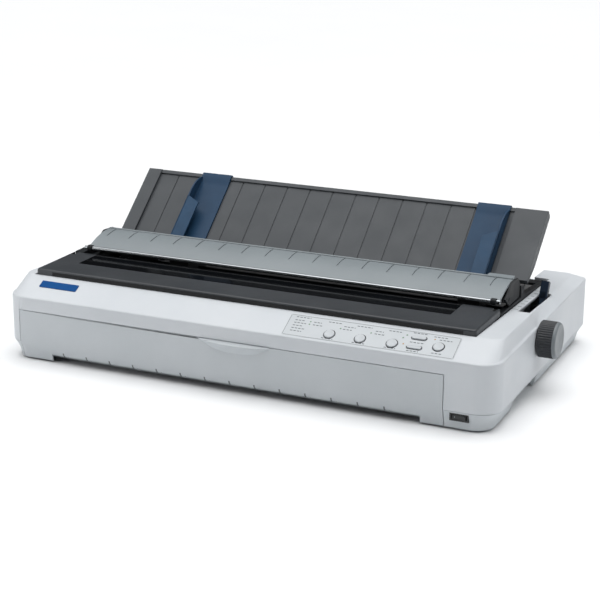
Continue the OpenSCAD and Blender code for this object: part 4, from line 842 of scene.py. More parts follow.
@dataclass
class FrontDoor:
    """Drop-down front door over the front paper slot."""

    body: str = "door"
    edge: float = 0.5
    top: float = 60.0
    slot_x: Pair = (-247.0, 196.5)
    tick_pitch: float = RIB_PITCH
    tick_shift: float = 4.6
    tick_width: float = 1.6
    # One tick, as (y, z) points: it bends round the door's lower edge.
    tick_section: Table = ((4.85, 9.2), (4.85, 10.5), (3.55, 10.8), (3.36, 12), (2.7, 14), (3.5, 14), (4.2, 12),
                           (5.6, 10.8), (5.6, 9.2))
    lip_x: float = -0.25
    lip_half: float = 44.0
    lip_out: float = 5.4
    lip_drop: float = 12.5
    lip_sunk: float = 0.02
    lip_steps: int = 48
    # The tips stop just short of a point; the two powers keep the crescent full until near its ends.
    lip_reach: float = 0.99
    lip_out_power: float = 3.5
    lip_drop_power: float = 2.6
    # Scooped upper face and undercut: y as a share of lip_out (or in mm inside the wall), drop as a share of lip_drop.
    lip_section: Table = ((1.2, 0.0), (0.0, 0.0), (-0.5, 0.06), (-0.95, 0.17), (-1.0, 0.24), (-0.93, 0.33),
                          (-0.68, 0.5), (-0.34, 0.74), (0.0, 1.0), (1.2, 1.0))
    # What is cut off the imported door's plainer lip, past the crescent's ends and round the top edge.
    spare_side: float = 3.0
    spare_y: Pair = (-8.0, -0.02)
    spare_up: Pair = (-16.0, 2.0)

    def lip(self) -> Shape:
        """Shapes the crescent finger lip: a scooped upper face over an undercut that runs back into the door.

        Returns:
            The lip, which overlaps the door's front wall.
        """
        rings = []
        for i in range(self.lip_steps + 1):
            u = (2 * i / self.lip_steps - 1) * self.lip_reach
            x = self.lip_x + self.lip_half * u
            out = self.lip_out * (1 - abs(u) ** self.lip_out_power)
            drop = self.lip_drop * (1 - abs(u) ** self.lip_drop_power)
            rings.append([(x, y * out if y <= 0 else y, self.top - self.lip_sunk - z * drop)
                          for y, z in self.lip_section])
        return Shape().loft(rings)

    def ticks(self) -> None:
        """Marks the paper ticks along the lip over the slot."""
        ink = Shape()
        first, last = self.slot_x
        half = self.tick_width / 2
        for step in range(1, int((last - first) / self.tick_pitch) + 1):
            x = first + step * self.tick_pitch - self.tick_shift
            ink.drawn(Axis.X, list(self.tick_section), x - half, x + half)
        ink.piece("front_door_ticks", LABEL_INK, self.body, "guide_plastic")

    def build(self) -> None:
        """Makes the door with its scalloped grip and the paper ticks at its lower edge."""
        reach = self.lip_half + self.spare_side
        low, high = self.spare_up
        spare = Shape().block((self.lip_x - reach, self.lip_x + reach), self.spare_y, (self.top + low, self.top + high))
        door = Shape.of_node("front_door").cut(spare).broken(self.edge)
        # The door's deeper grey is painted shade on the front face.
        door.joined(self.lip()).piece("front_door_shell", DOOR_ABS_PAINTED_SHADE, self.body, "case_plastic", ["front_door"])
        self.ticks()


@dataclass
class ControlPanel:
    """Label field, generic marks, lamps and keys on the right of the bezel; places are (x, distance up it)."""

    body: str = "printer"
    bezel: Bezel = field(default_factory=Bezel)
    label_x: Pair = (54.4, 248.6)
    label_up: Pair = (0.2, 32.0)
    label_thick: Pair = (-0.15, 0.16)
    label_corner: float = 2.0
    round_keys: Table = ((107, 10), (142, 10), (178, 10), (228, 14.5))
    bar_keys: Table = ((204, 23), (203, 9))
    key_radius: float = 5.8
    bar_key_size: Pair = (16.0, 4.6)
    key_up: float = 1.6
    key_body: float = 6.0
    flange: float = 1.2
    # A crown as (drop below the top, distance in from the rim or, for a bar key, growth of its outline).
    round_crown: Table = ((0.9, 0.0), (0.35, 0.2), (0.0, 0.8), (0.0, 1.6), (0.35, 3.2))
    round_dish: float = 0.45
    bar_crown: Table = ((0.7, 0.0), (0.2, -0.18), (0.0, -0.6), (0.3, -1.3))
    hole_gap: float = 0.9
    hole_corner: float = 3.1
    hole_reach: float = 3.0
    # Dark rings of painted shadow round the keys: how far past a key they reach out and in, and their foot and top.
    shade_ring_out: float = 0.85
    collar_in: float = 0.3
    shade_ring_foot: float = -0.1
    shade_ring_top: float = 0.06
    core_reach: float = 1.0
    ink_up: Pair = (0.1, 0.21)
    frame_in: float = 1.0
    frame_gap: Pair = (2.0, 1.5)
    line_half: float = 0.2
    dash_half: float = 0.5
    dash_long: float = 2.8
    dash_pitch: int = 4
    # Captions as (x, distance up, length): rows of dashes and no words.
    captions: tuple[Triple, ...] = (
        (62, 8, 13), (62, 12, 15), (62, 16, 12), (62, 20, 14), (62, 24, 11), (62, 28.5, 17), (84, 20, 12),
        (84, 24, 9), (100, 3.5, 13), (100, 27.5, 15), (119, 20, 10), (119, 24, 13), (135, 3.5, 14),
        (133, 27.5, 17), (155, 20, 12), (155, 24, 9), (171, 3.5, 13), (169, 27.5, 14), (196, 16, 16),
        (196, 3.5, 13), (196, 29.5, 15), (219, 28, 16), (223, 5.0, 12), (226, 24.5, 14))
    lamp_up: Pair = (-1.5, 0.55)
    lamp_radius: float = 0.95
    green_lamps: Table = ((116, 20.5), (151, 20.5), (187, 20.5), (190, 25.0), (80, 20), (80, 24))
    amber_lamps: Table = ((190, 12.0), (221, 24.5))

    def label(self) -> None:
        """Lays the pale label field round the keys, with holes where they stand."""
        rule = self.bezel.at(0, 0)
        sheet = Shape().drawn(Axis.Z, between(self.label_x, self.label_up, self.label_corner), *self.label_thick, rule)
        holes = Shape()
        ends = (-self.hole_reach, self.hole_reach)
        for x, up in self.round_keys:
            holes.rod(Axis.Z, *ends, (x, up, 0), self.key_radius + self.hole_gap, place=rule)
        width, depth = (side + 2 * self.hole_gap for side in self.bar_key_size)
        for x, up in self.bar_keys:
            holes.drawn(Axis.Z, rounded(width, depth, self.hole_corner, x, up), *ends, rule)
        sheet.cut(holes).piece("panel_label", LABEL_FIELD, self.body, "button_plastic")

    def marks(self) -> None:
        """Prints a frame line and generic dashes where a printer's panel has its captions."""
        ink = Shape()
        rule = self.bezel.at(0, 0)
        (x0, x1), (low, high), half = self.label_x, self.label_up, self.line_half
        gap_x, gap_up = self.frame_gap
        for x in (x0 + self.frame_in, x1 - self.frame_in):
            ink.block((x - half, x + half), (low + gap_up, high - gap_up), self.ink_up, rule)
        for up in (low + self.frame_in, high - self.frame_in):
            ink.block((x0 + gap_x, x1 - gap_x), (up - half, up + half), self.ink_up, rule)
        for x, up, long in self.captions:
            for start in range(0, int(long), self.dash_pitch):
                reach = min(self.dash_long, long - start)
                ink.block((x + start, x + start + reach), (up - self.dash_half, up + self.dash_half), self.ink_up,
                          rule)
        ink.piece("panel_marks", LABEL_INK, self.body, "guide_plastic")

    def collars(self) -> None:
        """Rings every key with a dark ring of painted shadow, where the contact shadow round a key falls."""
        rings, cores = Shape(), Shape()
        rule = self.bezel.at(0, 0)
        for x, up in self.round_keys:
            rings.rod(Axis.Z, self.shade_ring_foot, self.shade_ring_top, (x, up, 0), self.key_radius + self.shade_ring_out,
                      place=rule)
            cores.rod(Axis.Z, -self.core_reach, self.core_reach, (x, up, 0), self.key_radius + self.collar_in,
                      place=rule)
        for x, up in self.bar_keys:
            for made, grow, span in ((rings, self.shade_ring_out, self.shade_ring_top),
                                     (cores, self.collar_in, self.core_reach)):
                width, depth = (side + 2 * grow for side in self.bar_key_size)
                made.drawn(Axis.Z, rounded(width, depth, depth / 2 - ROUND_END, x, up), -span, span, rule)
        rings.cut(cores).piece("key_painted_shadow_rings", FRAME_ABS, self.body, "guide_plastic")

    def lamps(self) -> None:
        """Sets the small lamps beside the keys."""
        rule = self.bezel.at(0, 0)
        for name, finish, places in (("panel_lamps_green", LAMP_GREEN, self.green_lamps),
                                     ("panel_lamps_amber", LAMP_AMBER, self.amber_lamps)):
            lamps = Shape()
            for x, up in places:
                lamps.rod(Axis.Z, *self.lamp_up, (x, up, 0), self.lamp_radius, chamfer=0.3, steps=16, place=rule)
            lamps.piece(name, finish, self.body, "window_plastic")

    def round_key(self, number: int, x: float, up: float) -> None:
        """Makes one dished round key on its own body.

        Args:
            number: number of the key, from the left.
            x: its place along the bezel.
            up: its place up the bezel.
        """
        r, foot, step = self.key_radius, -self.key_body, self.flange - self.key_body
        profile = [(foot, 0.4), (foot, r + self.flange), (step, r + self.flange), (step, r),
                   *((self.key_up - drop, r - inward) for drop, inward in self.round_crown),
                   (self.key_up - self.round_dish, 0.3)]
        Shape().turned(Axis.Z, profile, (0, 0, 0), steps=56, place=self.bezel.at(x, up)).piece(
            f"round_key_cap_{number}", KEY_ABS, f"round_key_{number}", "button_plastic", [f"round_button_{number}"])

    def bar_key(self, number: int, x: float, up: float) -> None:
        """Makes one crowned bar key on its own body.

        Args:
            number: number of the key, from the rear.
            x: its place along the bezel.
            up: its place up the bezel.
        """
        width, depth = self.bar_key_size
        foot, step = -self.key_body, self.flange - self.key_body
        rings = []
        for z, grow in ((foot, self.flange), (step, self.flange), (step, 0.0),
                        *((self.key_up - drop, grow) for drop, grow in self.bar_crown)):
            outline = rounded(width + 2 * grow, depth + 2 * grow, depth / 2 + grow - ROUND_END, steps=10)
            rings.append(level(outline, z))
        Shape().loft(rings, place=self.bezel.at(x, up)).piece(
            f"bar_key_cap_{number}", KEY_ABS, f"bar_key_{number}", "button_plastic", [f"bar_button_{number}"])

    def build(self) -> None:
        """Builds the whole panel."""
        self.label()
        self.marks()
        self.collars()
        self.lamps()
        for number, place in enumerate(self.round_keys, 1):
            self.round_key(number, *place)
        for number, place in enumerate(self.bar_keys, 1):
            self.bar_key(number, *place)
        dress("panel_board", BOARD_EPOXY)


@dataclass
class PowerSwitch:
    """Rocker switch at the right of the front face."""

    dot_x: float = 252.3
    dot_z: float = 15.9
    dot_y: Pair = (0.95, 1.35)
    dot_radius: float = 0.9

    def build(self) -> None:
        """Makes the switch's frame, its rocker and the dot printed on the rocker."""
        soften("switch_body", "switch_frame", NYLON_BLACK, "printer", "switch_plastic", 0.35)
        soften("power_rocker", "switch_rocker", NYLON_BLACK, "rocker", "switch_plastic", 0.3)
        Shape().rod(Axis.Y, *self.dot_y, (self.dot_x, 0, self.dot_z), self.dot_radius, chamfer=0.05,
                    steps=24).piece("switch_dot", MARK_INK, "rocker", "guide_plastic")


@dataclass
class PrinterCover:
    """Hinged cover over the print mechanism, with its smoked window."""

    body: str = "cover"
    x: Pair = (-275.3, 261.3)
    y: Pair = (35.7, 117.0)
    low: float = 92.0
    top: float = 100.6
    wall: float = 2.4
    corner: float = 4.0
    # The rolled rim as (drop below the top, growth of the outline).
    rim: Table = ((2.6, 0.0), (1.2, -0.35), (0.4, -1.1), (0.0, -2.4))
    window_x: Pair = (-242.3, 219.3)
    window_y: Pair = (75.0, 112.5)
    window_corner: float = 1.2
    window_sunk: float = 0.25
    window_gap: float = 0.05
    pin: Pair = (110.5, 94.0)
    pin_radius: float = 2.0
    pin_reach: float = 4.6
    arm_slots: Table = ((-273.2, -268.0), (254.0, 259.2))
    strip_ends: Pair = (22.0, 14.0)
    strip_y: Pair = (-0.12, 0.6)

    def shell(self) -> None:
        """Makes the cover: a shallow pan upside down, open at the rear, with a rolled front edge."""
        (x0, x1), (y0, y1), low, top = self.x, self.y, self.low, self.top
        rings = []
        for z, grow in ((low, 0.0), *((top - drop, grow) for drop, grow in self.rim)):
            rings.append(level(between(self.x, (y0, y1 + 10), self.corner + grow * 0.5, grow), z))
        pan = Shape().loft(rings)
        inner = Shape().block((x0 + self.wall, x1 - self.wall), (y0 + self.wall, y1 + 20), (low - 2, top - self.wall))
        rear = Shape().block((x0 - 5, x1 + 5), (y1, y1 + 30), (low - 5, top + 5))
        hole = Shape().drawn(Axis.Z, between(self.window_x, self.window_y, self.window_corner), low - 4, top + 4)
        slots = Shape()
        for ends in self.arm_slots:
            slots.block(ends, (self.pin[0] - 4, y1 + 6), (low - 3, top + 3))
        pan.cut(inner, rear, hole, slots)
        reach = self.wall + self.pin_reach
        for ends in ((x0 + 1, x0 + reach), (x1 - reach, x1 - 1)):
            pan.rod(Axis.X, *ends, (0, *self.pin), self.pin_radius, chamfer=0.3, steps=32)
        pan.piece("cover_shell", COVER_ABS, self.body, "cover_plastic", ["printer_cover"], smooth=40)

    def strips(self) -> None:
        """Makes the glossy black strip along the front edge, and a black strip of painted shade behind the window,
        under the bar.
        """
        (x0, x1), (y0, y1), top = self.x, self.y, self.top
        left, right = self.strip_ends
        front = Shape().block((x0 + left, x1 - right), (y0 + self.strip_y[0], y0 + self.strip_y[1]),
                              (self.low + 0.4, top - 2.2))
        # Painted shade: a black strip over the cover's rear border, where the bar's shade falls.
        rear = Shape().block(self.window_x, (self.window_y[1] + 0.3, y1 - 0.2), (top - 0.4, top + 0.06))
        for strip, edge, name in ((front, 0.1, "cover_front_strip"), (rear, 0.05, "cover_rear_painted_shade")):
            strip.broken(edge).piece(name, STRIP_BLACK, self.body, "window_plastic")

    def window(self) -> None:
        """Makes the smoked window, let in a little below the cover's face."""
        gap = self.window_gap
        outline = between(self.window_x, self.window_y, self.window_corner - gap, -gap)
        pane = Shape().drawn(Axis.Z, outline, self.top - self.wall, self.top - self.window_sunk)
        pane.broken(0.25).piece("cover_smoked_window", WINDOW_ACRYLIC, self.body, "window_plastic", ["cover_window"])

    def build(self) -> None:
        """Builds the whole cover."""
        self.shell()
        self.strips()
        self.window()


@dataclass
class TensionUnit:
    """Lift-off paper tension unit: arched panel, side cheeks, bright bar and rollers; places are (y, z)."""

    body: str = "tension_unit"
    half: float = 258.0
    front: Pair = (124.5, 106.8)
    rear: Pair = (165.0, 118.4)
    sag: float = 2.0
    thick: float = 2.4
    groove_pitch: float = RIB_PITCH
    groove_depth: float = 1.0
    groove_half: float = 0.7
    groove_shift: float = -4.0
    lip: float = 11.0
    block_size: Pair = (30.0, 12.0)
    block_corner: float = 1.6
    # Middle of the raised block: in from the right end, and behind the arch.
    block_place: Pair = (16.0, 12.0)
    block_up: float = 1.2
    bar: Pair = (120.0, 107.0)
    bar_radius: float = 2.4
    bar_over: float = 2.5
    collar_wall: float = 0.7
    collar_width: float = 3.0
    # How far in from each end of the unit a collar starts, left and right.
    collar_in: Pair = (3.0, 8.6)
    roller: Pair = (150.0, 102.0)
    roller_hole: float = 2.25
    roller_room: float = 6.0
    cheek_low: float = 93.8
    cheek_rear: float = 190.0
    cheek_thick: float = 2.6
    hook_in: Pair = (2.0, 8.0)
    hook_wall: float = 1.2

    def arch(self, inset: float, steps: int = 28) -> Outline:
        """One skin of the panel's arched section.

        Args:
            inset: distance in from the outer skin.
            steps: chords along the arch.

        Returns:
            The (y, z) points from front to rear.
        """
        dy, dz = self.rear[0] - self.front[0], self.rear[1] - self.front[1]
        chord = math.hypot(dy, dz)
        radius = chord**2 / (8 * self.sag) + self.sag / 2
        cy = (self.front[0] + self.rear[0]) / 2 + dz / chord * (radius - self.sag)
        cz = (self.front[1] + self.rear[1]) / 2 - dy / chord * (radius - self.sag)
        start = math.degrees(math.atan2(self.front[1] - cz, self.front[0] - cy))
        end = math.degrees(math.atan2(self.rear[1] - cz, self.rear[0] - cy))
        return arc(cy, cz, radius - inset, start, end, steps)

    def grooves(self, end: float) -> Shape:
        """Shapes the cutters of the grooves, which run over the rear two fifths of the arch and its lip.

        Args:
            end: y of the lip's rear edge.

        Returns:
            The cutters, one beside the other.
        """
        above, within = self.arch(-3.0), self.arch(self.groove_depth)
        share = len(above) * 3 // 5
        rear_z = self.rear[1]
        band = [*above[share:], (end - 3.6, rear_z + 4), (end - 3.6, rear_z - self.groove_depth),
                *reversed(within[share:])]
        cutters = Shape()
        for step in range(-8, 9):
            x = step * self.groove_pitch + self.groove_shift
            cutters.drawn(Axis.X, band, x - self.groove_half, x + self.groove_half)
        return cutters

    def panel(self) -> None:
        """Makes the arched panel with its rear bead and grooves and the raised block at its right."""
        rear_y, rear_z = self.rear
        end, under = rear_y + self.lip, rear_z - self.thick
        bead = [(end - 4.4, rear_z), (end - 4.1, rear_z - 0.7), (end - 3.1, rear_z - 0.7), (end - 2.9, rear_z + 0.2),
                *arc(end - 1.5, rear_z - 0.3, 1.5, 155, -60, 10), (end - 1.0, under)]
        outline = [*self.arch(0.0), *bead, (rear_y, under), *list(reversed(self.arch(self.thick)))[1:]]
        skin = Shape().drawn(Axis.X, outline, -self.half, self.half).cut(self.grooves(end))
        block_in, behind = self.block_place
        raised = rounded(*self.block_size, self.block_corner, self.half - block_in, rear_y + behind)
        skin.drawn(Axis.Z, raised, under, rear_z + self.block_up)
        skin.piece("tension_panel_skin", PANEL_ABS, self.body, "panel_plastic", ["tension_panel"])

    def bright_bar(self) -> None:
        """Makes the ground bar and the two collars that hold it."""
        middle = (0, *self.bar)
        reach = self.half + self.bar_over
        Shape().rod(Axis.X, -reach, reach, middle, self.bar_radius, chamfer=0.5, steps=48).piece(
            "tension_bright_bar", STEEL_GROUND, self.body, "shaft_steel", ["paper_bar"])
        collars = Shape()
        left, right = self.collar_in
        radius = self.bar_radius + self.collar_wall
        for start in (-self.half + left, self.half - right):
            collars.rod(Axis.X, start, start + self.collar_width, middle, radius, chamfer=0.3)
        collars.piece("tension_bar_collars", FRAME_ABS, self.body, "frame_plastic")

    def cheek(self, side: Side) -> Shape:
        """Shapes one side cheek with the arm that hooks under the bar.

        Args:
            side: side of the printer that it stands on.

        Returns:
            The cheek and its arm.
        """
        (rear_y, rear_z), low, back = self.rear, self.cheek_low, self.cheek_rear
        bar_y, bar_z = self.bar
        plate = [(152, low), (137, 105), (rear_y - 3, rear_z + 0.4), (back - 7, rear_z - 0.9), (back, 110), (back, low)]
        arm = [(bar_y, bar_z - 4.1), (bar_y, bar_z - 3.4), (139, 106.4), (145, 102), (139, 101.5)]
        inner, outer = side.span(self.half, self.half + self.cheek_thick)
        made = Shape().drawn(Axis.X, plate, inner, outer)
        made.cut(Shape().rod(Axis.X, inner - 1, outer + 1, (0, *self.roller), self.roller_hole, chamfer=0.1, steps=32))
        inner, outer = side.span(*(self.half - inward for inward in self.hook_in))
        hook = Shape().rod(Axis.X, inner, outer, (0, *self.bar), self.bar_radius + self.hook_wall, chamfer=0.3)
        hook.cut(Shape().drawn(Axis.X, arm, inner, outer), keep="UNION")
        hook.cut(*(Shape().rod(Axis.X, inner - 1, outer + 1, (0, *middle), radius, chamfer=0.1)
                   for middle, radius in ((self.bar, self.bar_radius), (self.roller, self.roller_room))))
        return made.broken(0.5, angle=40).joined(hook)

    def cheeks(self) -> None:
        """Makes the two side cheeks and the members that tie them together."""
        (rear_y, rear_z), low, back = self.rear, self.cheek_low, self.cheek_rear - 3
        frame = Shape().joined(*(self.cheek(side) for side in Side))
        for y, z in (((160, back), (low, low + 2.4)), ((back, back + 2.4), (low, rear_z - 5)),
                     ((137, 139), (101.5, 106.4))):
            frame.joined(Shape().block((-self.half, self.half), y, z).broken(0.4, angle=50))
        brace = [(rear_y, rear_z - 4.4), (rear_y, rear_z - 2.6), (back, rear_z - 4.8), (back, rear_z - 6.6)]
        frame.joined(Shape().drawn(Axis.X, brace, -self.half, self.half).broken(0.3, angle=50))
        frame.piece("tension_cheeks", FRAME_ABS, self.body, "frame_plastic", ["tension_frame"])

    def build(self) -> None:
        """Builds the whole unit."""
        self.panel()
        self.bright_bar()
        self.cheeks()
        dress("tension_rollers", RUBBER_GROUND)


@dataclass
class PaperGuide:
    """Tilting paper guide with its two raised bands, grooves and sliding edge guides.

    Its own frame has x across, y up the guide from the pivot and z towards the paper.
    """

    body: str = "guide"
    pivot: Pair = (200.0, 98.0)
    lean: float = 40.2
    length: float = 112.5
    half: float = 263.0
    band_left: float = 18.0
    band_right: float = 39.0
    low: float = 13.0
    back: float = -4.5
    floor: float = -2.0
    band_up: float = 1.5
    lip: float = 1.6
    lip_back_radius: float = 2.2
    lip_face_radius: float = 2.0
    arm: Pair = (248.2, 254.2)
    arm_radius: float = 4.4
    pin_radius: float = 3.0
    pin_reach: float = 7.1
    groove_pitch: float = RIB_PITCH
    groove_shift: float = 24.0
    groove_size: Pair = (1.6, 0.8)
    side_drop: float = 6.0
    side_thick: float = 5.0

    def own(self) -> Matrix:
        """Place of the guide's own frame: Y runs up it and Z faces the paper."""
        return Matrix.Translation((0.0, *self.pivot)) @ Matrix.Rotation(math.radians(self.lean), 4, "X")

    def face(self) -> Shape:
        """Shapes the panel's body with its rounded top lip, raised bands and grooves.

        Returns:
            The body, with its edges broken.
        """
        rule, end, r, f = self.own(), self.length, self.lip_back_radius, self.lip_face_radius
        profile = [(self.low, self.back), (end - r, self.back), *arc(end - r, self.back + r, r, -90, 0, 5),
                   *arc(end - f, self.band_up - f, f, 0, 90, 5), (self.low, self.band_up)]
        field_x = (-self.half + self.band_left, self.half - self.band_right)
        recess = Shape().block(field_x, (self.low - 2, end - 5), (self.floor, self.band_up + 3), rule)
        lip = Shape().block(field_x, (end - 8, end + 4), (self.floor + self.lip, self.band_up + 3), rule)
        grooves = Shape()
        width, depth = self.groove_size
        for step in range(-8, 7):
            x = step * self.groove_pitch + self.groove_shift
            grooves.block((x - width / 2, x + width / 2), (self.low - 2, end - 5.2),
                          (self.floor - depth, self.floor + 1), rule)
        made = Shape().drawn(Axis.X, profile, -self.half, self.half, rule)
        return made.cut(recess, lip, grooves).broken(0.4, angle=50)

    def panel(self) -> None:
        """Makes the guide's panel with its arms, pivot pins and side skirts."""
        rule, panel = self.own(), self.face()
        near, far = self.arm
        low, back, end, drop = self.low, self.back, self.length, self.back - self.side_drop
        skirt = [(low + 1, back + 0.1), (low + 27, drop), (end - 1.5, drop), (end, drop + 1.5), (end, back + 0.1)]
        for side in Side:
            ends = side.span(near, far)
            panel.rod(Axis.X, *ends, (0, 0, 0), self.arm_radius, place=rule)
            panel.block(ends, (0, low + 6), (back + 0.1, self.band_up - 0.2), rule)
            panel.rod(Axis.X, *side.span(far - 1, far + self.pin_reach), (0, 0, 0), self.pin_radius, chamfer=0.3,
                      steps=32, place=rule)
            ends = side.span(self.half - self.side_thick, self.half)
            panel.joined(Shape().drawn(Axis.X, skirt, *ends, rule).broken(0.5, angle=40))
        panel.block((-near, near), (9, low + 1), (back, self.floor), rule)
        panel.piece("guide_panel", GUIDE_ABS, self.body, "guide_plastic", ["paper_guide"])

    def build(self) -> None:
        """Builds the guide and its two edge guides."""
        self.panel()
        EdgeGuide(Side.LEFT, "left_edge_guide", -186.0, "edge_guide_left", self).build()
        EdgeGuide(Side.RIGHT, "right_edge_guide", 218.0, "edge_guide_right", self).build()


@dataclass
class EdgeGuide:
    """One sliding edge guide: a plate that hooks over the guide's top, with a curved fence and a folded flap."""

    side: Side
    body: str
    fence_x: float
    node: str
    guide: PaperGuide
    plate_width: float = 40.0
    plate_thick: float = 2.3
    fence_height: float = 14.0
    fence_thick: float = 2.0
    fence_run: float = 32.0
    flap_end: float = 44.0
    flap_in: float = 18.0
    flap_drop: float = 9.5
    flap_thick: float = 2.0
    flap_edge: float = 0.8
    low_end: float = 1.0
    gap: float = 0.3

    def sheet(self) -> Outline:
        """Section of the plate and its hook over the guide's top lip.

        Returns:
            The (y, z) points in the guide's own frame.
        """
        g, gap = self.guide, self.gap
        end, low, crest = g.length, g.floor + gap, g.floor + 4.0
        under, over, hook = g.floor + g.lip + gap, g.floor + self.plate_thick, g.back - gap
        return [(g.low + gap, low), (end - 6.6, low), (end - 6.4, under), (end + gap, under), (end + gap, hook),
                (end - 8, hook), (end - 8, g.back - 2.3), (end + 1.6, g.back - 2.3), (end + 2.3, g.back - 1.6),
                *arc(end - 0.7, crest - 3.0, 3.0, 0, 80, 6), (end - 6, crest - 0.3), (end - 11, crest - 1.1),
                (end - 17, over), (g.low + gap, over)]

    def fence(self) -> Outline:
        """Section of the upright fence, whose top edge bends down to the plate over its upper run.

        Returns:
            The (y, z) points in the guide's own frame.
        """
        g, high = self.guide, self.fence_height
        drop = high - g.floor - 2.2
        bend = (self.fence_run**2 + drop**2) / (2 * drop)
        turn = math.degrees(math.atan2(bend - drop, self.fence_run))
        return [(self.low_end, g.floor + 1), (self.low_end, high),
                *arc(g.length - self.flap_end + 8, high - bend, bend, 90, turn, 22),
                (g.length - 6.5, g.floor + 2.2), (g.length - 6.5, g.floor + 1)]

    def build(self) -> None:
        """Makes the plate, the hook and the fence with its folded flap."""
        turn = Matrix.Scale(-1.0, 4, (1.0, 0.0, 0.0)) if self.side is Side.RIGHT else Matrix.Identity(4)
        rule = Matrix.Translation((self.fence_x, 0.0, 0.0)) @ self.guide.own() @ turn
        top = self.guide.length - self.flap_end
        flap = [(0, self.low_end), (self.flap_in, self.low_end), (self.flap_in, top - self.flap_drop), (0, top)]
        folded = Shape().drawn(Axis.Z, flap, self.fence_height - self.flap_thick, self.fence_height, rule)
        # The flap's lighter blue is painted light.
        folded.broken(self.flap_edge, angle=40, segments=3).piece(f"{self.node}_flap", BLUE_PAINTED_LIGHT, self.body,
                                                                  "blue_plastic")
        plate = Shape().drawn(Axis.X, self.sheet(), 0, self.plate_width, rule)
        plate.joined(Shape().drawn(Axis.X, self.fence(), 0, self.fence_thick, rule).broken(0.4, angle=40))
        bmesh.ops.recalc_face_normals(plate.mesh, faces=plate.mesh.faces)
        plate.piece(f"{self.node}_fence", BLUE_ACETAL, self.body, "blue_plastic", [self.node])


@dataclass
class Controls:
    """Platen knob and paper release lever at the right."""

    knob_x: Pair = (297.8, 319.0)
    axis: Pair = (152.0, 62.0)
    radius: float = 20.5
    flutes: int = 46
    flute_depth: float = 1.05
    points_per_flute: int = 4
    collar_x: Pair = (290.0, 298.4)
    collar_radii: Pair = (4.1, 9.0)
    # The dished face as (distance in from the knob's end, distance in from its rim).
    face: Table = ((3.7, 0.15), (2.2, 0.35), (0.9, 1.0), (0.2, 2.0), (0.0, 3.2), (0.0, 5.0), (0.5, 7.5))
    lever_at: Triple = (277.5, 196.0, 30.0)
    lever_length: float = 82.0
    lever_lean: float = 30.0
    lever_width: float = 9.0
    lever_thick: float = 6.4
    stem_in: float = 1.5
    thumb_length: float = 20.0
    hub_radius: float = 6.5
    pivot_radius: float = 3.0
    pivot_reach: float = 4.1

    def grip(self) -> None:
        """Makes the knob's knurled grip, with flutes that run out at both ends."""
        (x0, x1), (y, z), r, deep = self.knob_x, self.axis, self.radius, self.flute_depth
        points = self.flutes * self.points_per_flute
        rings = []
        for x, radius, depth in ((x0, 18.6, 0.0), (x0, 19.6, 0.0), (x0 + 1.0, r, 0.1), (x0 + 2.2, r, deep),
                                 (x1 - 4.6, r, deep), (x1 - 3.6, r, 0.1)):
            ring = []
            for i in range(points):
                turn = 2 * math.pi * i / points
                reach = radius - depth * (0.5 + 0.5 * math.cos(turn * self.flutes))
                ring.append((x, y + reach * math.cos(turn), z + reach * math.sin(turn)))
            rings.append(ring)
        Shape().loft(rings).piece("knob_grip", GRIP_ABS, "platen", "knob_plastic", ["platen_knob"], smooth=50)

    def knob(self) -> None:
        """Makes the knob: its grip, a dished face and the collar that enters the case."""
        self.grip()
        middle, end = (0, *self.axis), self.knob_x[1]
        face = [(end - 3.7, 4.2), *((end - inward, self.radius - rim) for inward, rim in self.face), (end - 0.7, 0.3)]
        Shape().turned(Axis.X, face, middle, steps=96).piece("knob_face", KNOB_ABS, "platen", "knob_plastic")
        (x0, x1), (bore, outer) = self.collar_x, self.collar_radii
        Shape().turned(Axis.X, [(x0, bore), (x0, outer), (x1, outer), (x1, bore)], middle).piece(
            "knob_collar", FRAME_ABS, "platen", "knob_plastic")

    def lever(self) -> None:
        """Makes the release lever with its wider, rounded thumb end."""
        rule = Matrix.Translation(self.lever_at) @ Matrix.Rotation(math.radians(-self.lever_lean), 4, "X")
        half, length, stem = self.lever_width / 2, self.lever_length, self.lever_width / 2 - self.stem_in
        flat = (-self.lever_thick / 2, self.lever_thick / 2)
        thumb = Shape().block((-half, half), flat, (length - self.thumb_length, length), rule).broken(1.0, segments=3)
        lever = Shape().block((-stem, stem), flat, (0, length - 12), rule).broken(0.5).joined(thumb)
        x, *middle = self.lever_at
        for reach, radius, chamfer, steps in ((half, self.hub_radius, 0.5, 40),
                                              (half + self.pivot_reach, self.pivot_radius, 0.3, 32)):
            lever.rod(Axis.X, x - reach, x + reach, (0, *middle), radius, chamfer, steps)
        lever.piece("release_lever_arm", LEVER_ACETAL, "lever", "lever_plastic", ["release_lever"])

    def build(self) -> None:
        """Builds the knob and the lever."""
        self.knob()
        self.lever()


